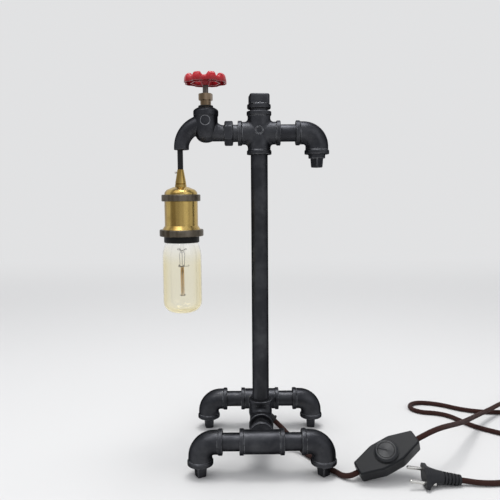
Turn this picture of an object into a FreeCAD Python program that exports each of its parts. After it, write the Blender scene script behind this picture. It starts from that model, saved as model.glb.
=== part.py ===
import FreeCAD
import Part
import math
import os
from types import SimpleNamespace

import Sketcher
from FreeCAD import Placement, Rotation, Vector

# Table lamp built from half-inch black malleable pipe fittings.
# Millimetres, +Z up. The floor is Z = 0 and the origin lies under the middle of the lamp's box.
# Pieces are laid out about the foot of the upright and moved to the origin at the end.

SIZES = {
    # pipe and fittings
    "pipe_outer": 21.3,
    "pipe_bore": 16.0,
    "fitting_outer": 28.4,
    "branch_outer": 28.0,
    "fitting_bore": 18.0,
    "collar_outer": 30.8,
    "collar_width": 4.5,
    "collar_slope": 1.2,
    "collar_round": 0.9,
    "crotch_round": 4.0,
    "face_reach": 26.5,
    "elbow_bend": 17.0,
    "thread_depth": 12.0,
    "thread_gap": 0.12,
    # what shows of each pipe between two fittings
    "base_gap": 20.0,
    "upright_gap": 313.3,
    "arm_gap": 19.0,
    # square plugs: four feet and the end of the right arm
    "foot_shoulder": 3.5,
    "foot_shoulder_tip": 15.4,
    "arm_shoulder": 5.0,
    "arm_shoulder_tip": 20.8,
    "head_root": 12.2,
    "head_tip": 10.8,
    "head_tall": 11.5,
    "head_round": 1.3,
    # plug on top of the cross
    "crown_neck": 22.0,
    "crown_neck_tall": 2.8,
    "crown_ring": 29.4,
    "crown_ring_tall": 6.1,
    "crown_ring_round": 1.7,
    "crown_head": 24.6,
    "crown_head_tall": 11.8,
    "crown_head_corner": 4.0,
    "crown_head_round": 2.0,
    # plain cast rings on the cross and on the tap
    "cross_ring": 10.0,
    "tap_ring": 12.6,
    "ring_width": 1.1,
    "ring_proud": 0.5,
    # tap body
    "stem_reach": 66.0,
    "mouth_reach": 97.0,
    "spout_drop": 16.8,
    "spout_outer": 18.7,
    "spout_bore": 14.0,
    "mouth_tall": 3.0,
    "barrel_outer": 29.6,
    "barrel_bore": 22.0,
    "barrel_below": 10.5,
    "barrel_floor": 6.0,
    "barrel_above": 21.2,
    "barrel_round": 10.5,
    "tap_collar": 31.2,
    "tap_collar_tall": 7.8,
    "tap_shoulder": 20.0,
    "tap_shoulder_tall": 2.7,
    "tap_thread_tall": 7.5,
    "inlet_outer": 19.6,
    "inlet_bore": 14.0,
    "hex_flats": 27.0,
    "hex_wide": 10.6,
    "hex_chamfer": 1.6,
    "hex_gap": 6.0,
    # head part of the tap
    "bonnet_neck": 13.3,
    "bonnet_neck_tall": 8.7,
    "bonnet_thread": 18.0,
    "bonnet_depth": 5.0,
    "gland_thread": 10.6,
    "gland_thread_tall": 4.5,
    "gasket_outer": 18.6,
    "gasket_tall": 2.4,
    "gland_flats": 15.5,
    "gland_tall": 8.2,
    "gland_roof": 1.8,
    "packing_tall": 1.7,
    "stem_outer": 7.0,
    "stem_thread": 9.5,
    "stem_thread_tall": 13.0,
    "stem_show": 10.3,
    "stem_drive": 5.8,
    "jumper_outer": 13.0,
    "jumper_tall": 3.0,
    "jumper_pin": 3.0,
    "jumper_pin_tall": 6.0,
    "jumper_drop": 7.0,
    "slide_gap": 0.1,
    # handwheel
    "rim_middle": 40.0,
    "rim_wide": 6.5,
    "rim_tall": 5.4,
    "rim_round": 2.2,
    "rim_wall": 1.8,
    "lobe_middle": 42.0,
    "lobe_outer": 10.0,
    "lobe_tall": 9.0,
    "hub_top": 15.0,
    "hub_tip": 9.0,
    "hub_tall": 9.5,
    "hub_drop": 4.4,
    "hub_recess": 2.2,
    "spoke_wide": 5.0,
    "spoke_thick": 3.2,
    "spoke_lift": 0.9,
    "wheel_screw_head": 8.0,
    "wheel_screw_tall": 1.9,
    "wheel_screw_shank": 3.0,
    "wheel_screw_long": 6.0,
    # black lead through the pipes
    "lead_outer": 7.0,
    "lead_bend": 18.0,
    "lead_show": 24.3,
    "knuckle_outer": 7.6,
    "knuckle_lift": 4.4,
    "hang_offset": 1.8,
    "soft_gap": 0.3,
    # lamp holder
    "grip_top": 7.9,
    "grip_waist": 13.8,
    "grip_bottom": 14.4,
    "grip_tall": 21.8,
    "grip_skirt": 4.0,
    "grip_thread": 10.0,
    "grip_thread_tall": 5.0,
    "grip_screw": 2.4,
    "grip_screw_long": 3.4,
    "grip_screw_below": 3.6,
    "cap_outer": 41.4,
    "cap_top": 18.8,
    "cap_dome_tall": 7.0,
    "cap_skirt_tall": 8.9,
    "cap_round": 4.0,
    "holder_wall": 1.2,
    "upper_ring": 48.8,
    "upper_ring_tall": 8.5,
    "upper_ring_below": 2.0,
    "ring_round": 1.3,
    "shell_outer": 41.8,
    "shell_tall": 37.3,
    "shell_flare": 48.0,
    "shell_flare_tall": 4.8,
    "sleeve_tall": 5.0,
    "lower_ring": 55.2,
    "lower_ring_tall": 8.5,
    "insert_skirt": 44.4,
    "insert_skirt_tall": 8.0,
    "insert_mouth": 41.2,
    "insert_throat": 30.4,
    "insert_mouth_tall": 11.8,
    "insert_roof": 3.0,
    "screw_shell_inner": 26.7,
    "screw_shell_wall": 0.65,
    "screw_shell_tall": 25.0,
    "screw_shell_inset": 2.0,
    "contact_wide": 10.0,
    "contact_thick": 0.8,
    # bulb
    "bulb_cap": 26.4,
    "bulb_cap_tall": 18.0,
    "bulb_cone_tall": 6.2,
    "bulb_cap_end": 10.4,
    "bulb_cap_wall": 0.6,
    "bulb_contact": 9.0,
    "bulb_contact_tall": 2.4,
    "bulb_glass": 49.0,
    "bulb_neck": 24.6,
    "bulb_show": 89.3,
    "bulb_shoulder": 19.8,
    "bulb_shoulder_round": 42.0,
    "bulb_end_round": 14.0,
    "glass_wall": 0.9,
    "glass_depth": 6.0,
    "mount_outer": 11.0,
    "mount_tall": 27.0,
    "filament_outer": 0.5,
    "filament_middle": 5.5,
    "filament_tall": 37.0,
    "filament_drop": 17.0,
    # mains lead, its coil, the dimmer and the plug
    "cord_outer": 6.4,
    "cord_lift": 3.4,
    "exit_angle": 48.0,
    "exit_height": 41.0,
    "drill_depth": 13.0,
    "grommet_outer": 10.4,
    "grommet_bead": 13.0,
    "grommet_bead_tall": 1.6,
    "grommet_proud": 3.4,
    "grommet_depth": 6.1,
    "coil_middle": 70.0,
    "coil_wide": 13.2,
    "coil_tall": 12.6,
    "dimmer_long": 78.0,
    "dimmer_wide": 33.0,
    "dimmer_waist": 24.0,
    "dimmer_end": 17.0,
    "dimmer_thick": 20.0,
    "dimmer_corner": 2.5,
    "dimmer_bulge": 14.0,
    "dimmer_edge": 2.0,
    "dimmer_wall": 1.6,
    "cord_entry": 6.0,
    "knob_seat": 29.0,
    "knob_seat_tall": 1.0,
    "knob_base": 27.0,
    "knob_top": 23.0,
    "knob_tall": 3.2,
    "knob_shaft": 6.0,
    "knob_mark": 1.2,
    "board_long": 50.0,
    "board_wide": 20.0,
    "board_thick": 1.6,
    "control_outer": 16.0,
    "control_tall": 8.5,
    "pin_outer": 4.0,
    "pin_long": 18.0,
    "pin_depth": 12.0,
    "pin_pitch": 19.0,
    "plug_face_long": 34.0,
    "plug_face_wide": 16.5,
    "plug_face_flat": 9.0,
    "plug_face_thick": 5.0,
    "plug_long": 42.0,
    "plug_tail": 12.0,
    "rib_pitch": 4.0,
    "rib_depth": 0.9,
}

doc = FreeCAD.newDocument("pipe_lamp")
sheet = doc.addObject("Spreadsheet::Sheet", "Sizes")
for row, (alias, number) in enumerate(SIZES.items(), start=1):
    sheet.set(f"A{row}", alias)
    sheet.set(f"B{row}", str(number))
    sheet.setAlias(f"B{row}", alias)
doc.recompute()


# ---------------------------------------------------------------- numbers tied to the sheet


class Size(float):
    """A number that remembers how it is worked out from the sheet."""

    def __new__(cls, number, text):
        size = super().__new__(cls, number)
        size.text = text
        return size


def written(number):
    return number.text if isinstance(number, Size) else f"({float(number)!r})"


def add_operator(name, sign, work):
    """Lets sizes be added, multiplied and so on, with each other and with plain numbers."""

    def forward(self, other):
        return Size(work(float(self), float(other)), f"({written(self)} {sign} {written(other)})")

    def backward(self, other):
        return Size(work(float(other), float(self)), f"({written(other)} {sign} {written(self)})")

    setattr(Size, f"__{name}__", forward)
    setattr(Size, f"__r{name}__", backward)


add_operator("add", "+", lambda a, b: a + b)
add_operator("sub", "-", lambda a, b: a - b)
add_operator("mul", "*", lambda a, b: a * b)
add_operator("truediv", "/", lambda a, b: a / b)
Size.__neg__ = lambda self: self * -1.0

s = SimpleNamespace(**{a: Size(sheet.get(a), f"Sizes.{a}") for a in SIZES})


def bind(thing, **numbers):
    """Sets properties, and ties each to the sheet where its number comes from there."""
    for prop, number in numbers.items():
        setattr(thing, prop, float(number))
        if isinstance(number, Size):
            thing.setExpression(prop, number.text)


# ---------------------------------------------------------------- places

ACROSS_CORNERS = 1.0 / math.cos(math.radians(30.0))
LEFT, RIGHT = (-1, 0, 0), (1, 0, 0)
FRONT, REAR = (0, -1, 0), (0, 1, 0)
DOWN, UP = (0, 0, -1), (0, 0, 1)


def towards(direction):
    """The turn that takes +Z to a direction."""
    return Rotation(Vector(0, 0, 1), Vector(*direction))


def spin(angle, axis=UP):
    return Rotation(Vector(*axis), angle)


def at(x=0.0, y=0.0, z=0.0, turn=None):
    return Placement(Vector(x, y, z), turn or Rotation())


def axes(x_axis, y_axis, z_axis):
    """The turn that takes +X, +Y and +Z to three directions."""
    return Rotation(Vector(*x_axis), Vector(*y_axis), Vector(*z_axis), "ZXY")


nodes = {}


def node(label, piece, place=None):
    """Names a finished sub-part and puts it in its place."""
    piece.Label = label
    piece.Placement = place or at()
    nodes[label] = piece
    return piece


# ---------------------------------------------------------------- solids from primitives


def primitive(kind, place=None, **numbers):
    piece = doc.addObject(f"Part::{kind}", kind)
    bind(piece, **numbers)
    piece.Placement = place or at()
    return piece


def cylinder(radius, height, place=None):
    return primitive("Cylinder", place, Radius=radius, Height=height)


def fused(pieces):
    whole = doc.addObject("Part::MultiFuse", "Fuse")
    whole.Shapes = pieces
    whole.Refine = True
    return whole


def cut(base, *tools):
    """The base less its tools."""
    piece = doc.addObject("Part::Cut", "Cut")
    piece.Base = base
    piece.Tool = tools[0] if len(tools) == 1 else fused(list(tools))
    piece.Refine = True
    return piece


def hexagon(flats, tall, place=None):
    """A hexagonal bar with both of its rims chamfered, as on a nut."""
    corner = flats / 2 * ACROSS_CORNERS
    bar = doc.addObject("Part::Prism", "Hexagon")
    bar.Polygon = 6
    bind(bar, Circumradius=corner, Height=tall)
    rim = corner - s.hex_chamfer * flats / s.hex_flats
    slope = (corner - rim) / 2
    barrel = turned([(0, 0), (rim, 0), (corner, slope), (corner, tall - slope), (rim, tall), (0, tall)])
    piece = doc.addObject("Part::Common", "Chamfered")
    piece.Base = bar
    piece.Tool = barrel
    piece.Placement = place or at()
    return piece


def rounded_edges(base, radius, wanted):
    """Rounds the edges of a solid for which wanted(edge) is true."""
    doc.recompute()
    piece = doc.addObject("Part::Fillet", "Rounded")
    piece.Base = base
    chosen = [i for i, edge in enumerate(base.Shape.Edges, start=1) if wanted(edge)]
    piece.Edges = [(i, float(radius), float(radius)) for i in chosen]
    return piece


# ---------------------------------------------------------------- solids from sketches


def origin_feature(body, role):
    return next(f for f in body.Origin.OriginFeatures if f.Role == role)


def tie(sketch, kind, *where, number):
    """A dimension of a sketch, bound to the sheet where its number comes from there."""
    index = sketch.addConstraint(Sketcher.Constraint(kind, *where, float(number)))
    if isinstance(number, Size):
        sketch.setExpression(f"Constraints[{index}]", number.text)


def pin(sketch, geometry, point, x, y):
    """Fixes a point of a sketch by its distances from the origin."""
    for kind, axis, number in (("DistanceX", -2, x), ("DistanceY", -1, y)):
        if float(number) == 0.0:
            sketch.addConstraint(Sketcher.Constraint("PointOnObject", geometry, point, axis))
        else:
            tie(sketch, kind, -1, 1, geometry, point, number=number)


def outline(body, corners, role="XZ_Plane"):
    """A closed outline on one of the body's own planes.

    A corner is (x, y) or (x, y, rounding). A plain corner joins its two sides. A rounded one stays
    in the sketch as a point that both sides run towards, with an arc tangent to them.
    """
    sketch = body.newObject("Sketcher::SketchObject", "Outline")
    sketch.AttachmentSupport = [(origin_feature(body, role), "")]
    sketch.MapMode = "FlatFace"
    spots = [Vector(float(c[0]), float(c[1]), 0) for c in corners]
    count = len(spots)
    arrive, leave, arcs = list(spots), list(spots), {}
    for i, corner in enumerate(corners):
        if len(corner) < 3:
            continue
        radius = float(corner[2])
        back = (spots[i - 1] - spots[i]).normalize()
        ahead = (spots[(i + 1) % count] - spots[i]).normalize()
        half_turn = (math.pi - back.getAngle(ahead)) / 2
        arrive[i] = spots[i] + back * (radius * math.tan(half_turn))
        leave[i] = spots[i] + ahead * (radius * math.tan(half_turn))
        middle = spots[i] + (back + ahead).normalize() * (radius / math.cos(half_turn))
        turns_left = back.cross(ahead).z < 0
        first, last = (arrive[i], leave[i]) if turns_left else (leave[i], arrive[i])
        angles = [math.atan2(p.y - middle.y, p.x - middle.x) for p in (first, last)]
        if angles[1] < angles[0]:
            angles[1] += 2 * math.pi
        circle = Part.Circle(middle, Vector(0, 0, 1), radius)
        arcs[i] = (Part.ArcOfCircle(circle, *angles), 1 if turns_left else 2)
    for i in range(count):
        sketch.addGeometry(Part.LineSegment(leave[i], arrive[(i + 1) % count]), False)
    for i, corner in enumerate(corners):
        before, after = (i - 1) % count, i
        if i not in arcs:
            sketch.addConstraint(Sketcher.Constraint("Coincident", before, 2, after, 1))
            pin(sketch, after, 1, corner[0], corner[1])
            continue
        arc, near_end = arcs[i]
        point = sketch.addGeometry(Part.Point(spots[i]), True)
        pin(sketch, point, 1, corner[0], corner[1])
        sketch.addConstraint(Sketcher.Constraint("PointOnObject", point, 1, before))
        sketch.addConstraint(Sketcher.Constraint("PointOnObject", point, 1, after))
        bend = sketch.addGeometry(arc, False)
        sketch.addConstraint(Sketcher.Constraint("Tangent", before, 2, bend, near_end))
        sketch.addConstraint(Sketcher.Constraint("Tangent", after, 1, bend, 3 - near_end))
        tie(sketch, "Radius", bend, number=corner[2])
    return sketch


def turned(corners, place=None):
    """A body of revolution about Z, from an outline of radii and heights."""
    body = doc.addObject("PartDesign::Body", "Turned")
    sketch = outline(body, corners)
    feature = body.newObject("PartDesign::Revolution", "Revolution")
    feature.Profile = sketch
    feature.ReferenceAxis = (sketch, ["V_Axis"])
    feature.Angle = 360
    body.Placement = place or at()
    return body


def tube(inner, outer, low, high, place=None):
    return turned([(inner, low), (outer, low), (outer, high), (inner, high)], place)


def slab(corners, thickness, place=None, top_round=None):
    """A plate up from Z = 0, with its top edge rounded if a radius is given."""
    body = doc.addObject("PartDesign::Body", "Slab")
    pad = body.newObject("PartDesign::Pad", "Pad")
    pad.Profile = outline(body, corners, "XY_Plane")
    bind(pad, Length=thickness)
    if top_round is not None:
        doc.recompute()
        edges = pad.Shape.Edges
        top = [f"Edge{i}" for i, e in enumerate(edges, start=1) if e.BoundBox.ZMin > float(thickness) - 1e-6]
        fillet = body.newObject("PartDesign::Fillet", "TopRound")
        fillet.Base = (pad, top)
        bind(fillet, Radius=top_round)
    body.Placement = place or at()
    return body


def rectangle(half_x, half_y, *rounding):
    spots = ((half_x, -half_y), (half_x, half_y), (-half_x, half_y), (-half_x, -half_y))
    return [(*spot, *rounding) for spot in spots]


# ---------------------------------------------------------------- cords


def rounded_path(points, diameter, name, widest=math.inf):
    """Straight runs joined by tangent arcs, each as large as its two runs allow."""
    spots = [Vector(*p) for p in points]
    runs = [(b - a).Length for a, b in zip(spots, spots[1:])]
    edges, radii, length, here = [], [], 0.0, spots[0]
    for i in range(1, len(spots) - 1):
        back = (spots[i - 1] - spots[i]).normalize()
        ahead = (spots[i + 1] - spots[i]).normalize()
        half_turn = (math.pi - back.getAngle(ahead)) / 2
        radius = min(0.45 * min(runs[i - 1], runs[i]) / math.tan(half_turn), widest)
        reach = radius * math.tan(half_turn)
        start, end = spots[i] + back * reach, spots[i] + ahead * reach
        inside = (back + ahead).normalize() * (radius / math.cos(half_turn) - radius)
        edges += [Part.LineSegment(here, start).toShape(), Part.Arc(start, spots[i] + inside, end).toShape()]
        length += (start - here).Length + 2 * half_turn * radius
        radii.append(radius)
        here = end
    edges.append(Part.LineSegment(here, spots[-1]).toShape())
    length += (spots[-1] - here).Length
    tight = [f"{i + 1}: {r:.0f}" for i, r in enumerate(radii) if r < 5 * diameter]
    print(f"{name}: length {length:.1f}, radii {', '.join(f'{r:.0f}' for r in radii)}")
    print(f"{name}: under five diameters at {', '.join(tight) or 'no point'}")
    return Part.Wire(edges), length


def cord(label, points, diameter, widest=math.inf):
    """A round cord along a path, checked against its section times its length."""
    path, length = rounded_path(points, float(diameter), label, widest)
    start = Vector(*points[0])
    section = Part.Circle(start, Vector(*points[1]) - start, diameter / 2)
    solid = path.makePipeShell([Part.Wire([section.toShape()])], True, False)
    expected = math.pi * diameter**2 / 4 * length
    if abs(solid.Volume / expected - 1) > 0.005:
        raise RuntimeError(f"{label}: volume {solid.Volume:.0f} against {expected:.0f}")
    piece = doc.addObject("Part::Feature", "Cord")
    piece.Shape = solid
    return node(label, piece)


# ---------------------------------------------------------------- places of the main axes

foot_stand = s.foot_shoulder + s.head_tall
bar_height = foot_stand + s.face_reach
spread = 2 * s.face_reach + s.base_gap
cross_height = bar_height + 2 * s.face_reach + s.upright_gap
arm_reach = 2 * s.face_reach + s.arm_gap
lip_height = cross_height - s.spout_drop - s.mouth_tall


# ---------------------------------------------------------------- pipe fittings


def arm(direction, start, outer):
    """One arm of a fitting, from a distance along its axis to its banded mouth."""
    face = s.face_reach
    band = s.collar_outer / 2
    corners = [
        (0, start),
        (outer / 2, start),
        (outer / 2, face - s.collar_width - s.collar_slope),
        (band, face - s.collar_width, s.collar_round),
        (band, face, s.collar_round),
        (0, face),
    ]
    return turned(corners, at(turn=towards(direction)))


def thread_bore(direction):
    """The wide end of the passage in one arm, where the pipe is screwed in."""
    threaded = s.pipe_outer / 2 + s.thread_gap
    shoulder = s.face_reach - s.thread_depth - s.thread_gap
    end = s.face_reach + 1
    corners = [(0, shoulder), (threaded, shoulder), (threaded, end), (0, end)]
    return turned(corners, at(turn=towards(direction)))


def passages(*directions):
    """The passages of straight arms, wider where the pipes are screwed in."""
    narrow = [cylinder(s.fitting_bore / 2, s.face_reach, at(turn=towards(d))) for d in directions]
    return narrow + [thread_bore(d) for d in directions]


def bend(radius):
    """A quarter ring between the -Z arm and the +X arm of an elbow."""
    place = at(s.elbow_bend, 0, -s.elbow_bend, axes(LEFT, UP, REAR))
    return primitive("Torus", place, Radius1=s.elbow_bend, Radius2=radius, Angle3=90)


def elbow(label, place):
    """An elbow with one mouth along +X and one down."""
    outer = [arm(d, s.elbow_bend, s.fitting_outer) for d in (RIGHT, DOWN)] + [bend(s.fitting_outer / 2)]
    inner = [thread_bore(d) for d in (RIGHT, DOWN)] + [bend(s.fitting_bore / 2)]
    return node(label, cut(fused(outer), *inner), place)


def branched():
    """The outside of a fitting with its run along X and its branch up, with a soft crotch."""
    arms = [arm(d, 0, s.fitting_outer) for d in (LEFT, RIGHT)] + [arm(UP, 0, s.branch_outer)]

    def is_crotch(edge):
        return edge.Curve.TypeId not in ("Part::GeomCircle", "Part::GeomLine") and edge.BoundBox.YLength > 1

    return rounded_edges(fused(arms), s.crotch_round, is_crotch)


def tee(label, place, *extra_tools):
    """A tee with its run along X and its branch up."""
    return node(label, cut(branched(), *passages(LEFT, RIGHT, UP), *extra_tools), place)


def pipe(label, gap, place):
    """A length of pipe along its own Z, screwed into the fittings on both sides of a gap."""
    half = gap / 2 + s.thread_depth
    return node(label, tube(s.pipe_bore / 2, s.pipe_outer / 2, -half, half), place)


def square_plug(label, shoulder, shoulder_tip, place):
    """A plug with a tapered shoulder and square head, hanging from a mouth at Z = 0."""
    thread = turned([
        (0, -shoulder),
        (shoulder_tip / 2, -shoulder),
        (s.pipe_outer / 2, 0),
        (s.pipe_outer / 2, s.thread_depth),
        (0, s.thread_depth),
    ])
    root, tip = s.head_root / 2, s.head_tip / 2
    head = primitive(
        "Wedge",
        at(z=-shoulder, turn=spin(-90, RIGHT)),
        Xmin=-root, Xmax=root, Zmin=-root, Zmax=root, Ymin=0, Ymax=s.head_tall,
        X2min=-tip, X2max=tip, Z2min=-tip, Z2max=tip,
    )
    root_level = -float(shoulder) - 1e-3
    rounded = rounded_edges(head, s.head_round, lambda edge: edge.BoundBox.ZMin < root_level)
    return node(label, fused([thread, rounded]), place)


# The feet were screwed home at different turns.
FOOT_TURNS = {"front_left": 28.0, "front_right": 40.0, "rear_left": 12.0, "rear_right": -8.0}

for row_name, side_y, inward in (("front", -spread, -90), ("rear", spread, 90)):
    for side_name, side_x, turn in (("left", -spread, 0), ("right", spread, 180)):
        name = f"{row_name}_{side_name}"
        elbow(f"{name}_elbow", at(side_x, side_y, bar_height, spin(turn)))
        foot_place = at(side_x, side_y, foot_stand, spin(FOOT_TURNS[name]))
        square_plug(f"{name}_foot_plug", s.foot_shoulder, s.foot_shoulder_tip, foot_place)
        pipe(f"{name}_nipple", s.base_gap, at(side_x / 2, side_y, bar_height, towards(RIGHT)))
    tee(f"{row_name}_tee", at(0, side_y, bar_height, spin(inward, RIGHT)))
    pipe(f"{row_name}_link_nipple", s.base_gap, at(0, side_y / 2, bar_height, towards(REAR)))

pipe("upright_pipe", s.upright_gap, at(0, 0, bar_height + s.face_reach + s.upright_gap / 2))


# ---------------------------------------------------------------- where the mains lead comes out

exit_x = s.fitting_outer / 2
exit_slope = math.tan(math.radians(s.exit_angle))
exit_direction = Vector(exit_slope, 0, -1).normalize()
exit_spot = Vector(exit_x, 0, s.exit_height)
lead_turn_height = s.exit_height + exit_x / exit_slope


def centre_tee_and_grommet():
    """The middle tee, drilled and spot-faced through its right wall, and the bush in the hole."""
    drill_turn = towards(tuple(exit_direction))
    bead, bead_low = s.grommet_bead / 2, s.grommet_proud - s.grommet_bead_tall
    outer, inner = s.grommet_outer / 2, s.cord_outer / 2 + s.thread_gap
    hole, spot_face = outer + s.thread_gap, bead + s.thread_gap
    face_low = bead_low - s.thread_gap
    drill = turned([
        (0, -s.drill_depth),
        (hole, -s.drill_depth),
        (hole, face_low),
        (spot_face, face_low),
        (spot_face, s.fitting_outer / 2),
        (0, s.fitting_outer / 2),
    ])
    back_turn = spin(-90)
    in_tee = Vector(exit_spot.x, exit_spot.y, exit_spot.z - bar_height)
    drill.Placement = Placement(back_turn.multVec(in_tee), back_turn.multiply(drill_turn))
    tee("centre_tee", at(0, 0, bar_height, spin(90)), drill)
    corners = [
        (inner, -s.grommet_depth),
        (outer, -s.grommet_depth),
        (outer, bead_low),
        (bead, bead_low, 0.4),
        (bead, s.grommet_proud, 0.6),
        (inner, s.grommet_proud),
    ]
    node("cord_grommet", turned(corners), Placement(exit_spot, drill_turn))


centre_tee_and_grommet()


# ---------------------------------------------------------------- the cross and what screws into it


def cast_ring(diameter, front):
    """A plain raised ring on a surface that faces the front, from its inner to its outer edge."""
    outer = diameter / 2
    return tube(outer - s.ring_width, outer, front - 1.5, front + s.ring_proud, at(turn=towards(FRONT)))


def head_cross():
    """Two tees back to back on one run, with a raised ring in front."""
    left, right = branched(), branched()
    left.Placement = at(turn=spin(-90, REAR))
    right.Placement = at(turn=spin(180).multiply(spin(-90, REAR)))
    arms = fused([left, right])
    ring = cast_ring(s.cross_ring, s.fitting_outer / 2 - 0.3)
    ring.Placement = at(z=2.4, turn=towards(FRONT))
    bores = passages(DOWN, UP, LEFT, RIGHT)
    node("head_cross", cut(fused([arms, ring]), *bores), at(z=cross_height))


def top_plug():
    """A plug with a thick ring and a rounded square head."""
    neck, ring = s.crown_neck / 2, s.crown_ring / 2
    ring_low, ring_high = s.crown_neck_tall, s.crown_neck_tall + s.crown_ring_tall
    stem = turned([
        (0, -s.thread_depth),
        (s.pipe_outer / 2, -s.thread_depth),
        (s.pipe_outer / 2, 0),
        (neck, 0),
        (neck, ring_low),
        (ring, ring_low, s.crown_ring_round),
        (ring, ring_high, s.crown_ring_round),
        (0, ring_high),
    ])
    side = s.crown_head / 2
    corners = rectangle(side, side, s.crown_head_corner)
    head = slab(corners, s.crown_head_tall, at(z=ring_high), s.crown_head_round)
    node("top_plug", fused([stem, head]), at(0, 0, cross_height + s.face_reach, spin(5.5)))


head_cross()
top_plug()
pipe("right_arm_nipple", s.arm_gap, at(arm_reach / 2, 0, cross_height, towards(RIGHT)))
elbow("right_arm_elbow", at(arm_reach, 0, cross_height, spin(180)))
arm_plug_place = at(arm_reach, 0, cross_height - s.face_reach, spin(42))
square_plug("right_arm_plug", s.arm_shoulder, s.arm_shoulder_tip, arm_plug_place)


# ---------------------------------------------------------------- tap
# Heights in the tap are counted from the axis of the arm.

stem_x = -s.stem_reach
mouth_x = -s.mouth_reach
spout_bend = s.mouth_reach - s.stem_reach
collar_high = s.barrel_above + s.tap_collar_tall
barrel_high = collar_high + s.tap_shoulder_tall
jumper_high = barrel_high - s.bonnet_depth - s.jumper_drop
neck_high = barrel_high + s.bonnet_neck_tall
gland_high = neck_high + s.gland_tall
hub_low = gland_high + s.stem_show
wheel_low = hub_low + s.hub_drop
hub_high = hub_low + s.hub_tall
TAP = at(z=cross_height)
STEM = at(stem_x, 0, cross_height)


def spout(radius, drop):
    """A quarter bend from over the barrel's middle to the mouth, with a straight end."""
    place = at(stem_x, 0, -s.spout_drop, axes(LEFT, UP, REAR))
    curve = primitive("Torus", place, Radius1=spout_bend, Radius2=radius, Angle3=90)
    end = cylinder(radius, drop, at(mouth_x, 0, -s.spout_drop - drop))
    return [curve, end]


def tap_body():
    """Barrel, spout, hexagon and screwed inlet, cast in one."""
    barrel = s.barrel_outer / 2
    collar = s.tap_collar / 2
    middle = at(stem_x)
    shell = turned([
        (0, -s.barrel_below),
        (barrel, -s.barrel_below, s.barrel_round),
        (barrel, s.barrel_above),
        (collar, s.barrel_above, 0.6),
        (collar, collar_high, 1.2),
        (s.tap_shoulder / 2, barrel_high),
        (0, barrel_high),
    ], middle)
    hex_left = -s.face_reach - s.hex_gap - s.hex_wide
    inlet = cylinder(s.inlet_outer / 2, s.stem_reach + hex_left, at(stem_x, turn=towards(RIGHT)))
    nut = hexagon(s.hex_flats, s.hex_wide, at(hex_left, turn=towards(RIGHT)))
    nut.Placement = at(hex_left, turn=spin(4, RIGHT).multiply(towards(RIGHT)))
    inlet_end = s.pipe_outer / 2
    thread = cylinder(inlet_end, s.hex_gap + s.thread_depth, at(-s.face_reach - s.hex_gap, turn=towards(RIGHT)))
    ring = cast_ring(s.tap_ring, barrel - 0.5)
    ring.Placement = at(stem_x, 0, (s.barrel_above - s.barrel_below / 2) - 0.9, towards(FRONT))
    solid = fused([shell, *spout(s.spout_outer / 2, s.mouth_tall), inlet, nut, thread, ring])
    seat = s.bonnet_thread / 2 + s.thread_gap
    chamber_high = barrel_high - s.tap_thread_tall
    chamber = turned([
        (0, -s.barrel_floor),
        (s.barrel_bore / 2, -s.barrel_floor),
        (s.barrel_bore / 2, chamber_high),
        (seat, chamber_high),
        (seat, barrel_high + 1),
        (0, barrel_high + 1),
    ], middle)
    inlet_bore = cylinder(s.inlet_bore / 2, s.stem_reach, at(stem_x, turn=towards(RIGHT)))
    node("tap_body", cut(solid, chamber, inlet_bore, *spout(s.spout_bore / 2, s.mouth_tall + 1)), TAP)


def tap_head():
    """Gasket, bonnet, gland nut and packing round the stem."""
    neck = s.bonnet_neck / 2
    thread_bore = s.stem_thread / 2 + s.thread_gap
    stem_bore = s.stem_outer / 2 + s.slide_gap
    gland_end = neck_high + s.gland_thread_tall
    bonnet_low = barrel_high - s.bonnet_depth
    node("bonnet_gasket", turned([
        (neck + s.thread_gap, barrel_high),
        (s.gasket_outer / 2, barrel_high, 0.8),
        (s.gasket_outer / 2, barrel_high + s.gasket_tall, 0.8),
        (neck + s.thread_gap, barrel_high + s.gasket_tall),
    ]), STEM)
    node("tap_bonnet", turned([
        (thread_bore, bonnet_low),
        (s.bonnet_thread / 2, bonnet_low),
        (s.bonnet_thread / 2, barrel_high),
        (neck, barrel_high),
        (neck, neck_high),
        (s.gland_thread / 2, neck_high),
        (s.gland_thread / 2, gland_end),
        (stem_bore, gland_end),
        (stem_bore, neck_high - 1),
        (thread_bore, neck_high - 1),
    ]), STEM)
    roof_low = gland_high - s.gland_roof
    inside = s.gland_thread / 2 + s.thread_gap
    hollow = turned([
        (0, neck_high - 1),
        (inside, neck_high - 1),
        (inside, roof_low),
        (stem_bore, roof_low),
        (stem_bore, gland_high + 1),
        (0, gland_high + 1),
    ])
    nut = hexagon(s.gland_flats, s.gland_tall, at(z=neck_high))
    node("gland_nut", cut(nut, hollow), Placement(STEM.Base, spin(16)))
    packing_low = roof_low - s.packing_tall
    node("gland_packing", tube(stem_bore, s.gland_thread / 2, packing_low, roof_low), STEM)


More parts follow.
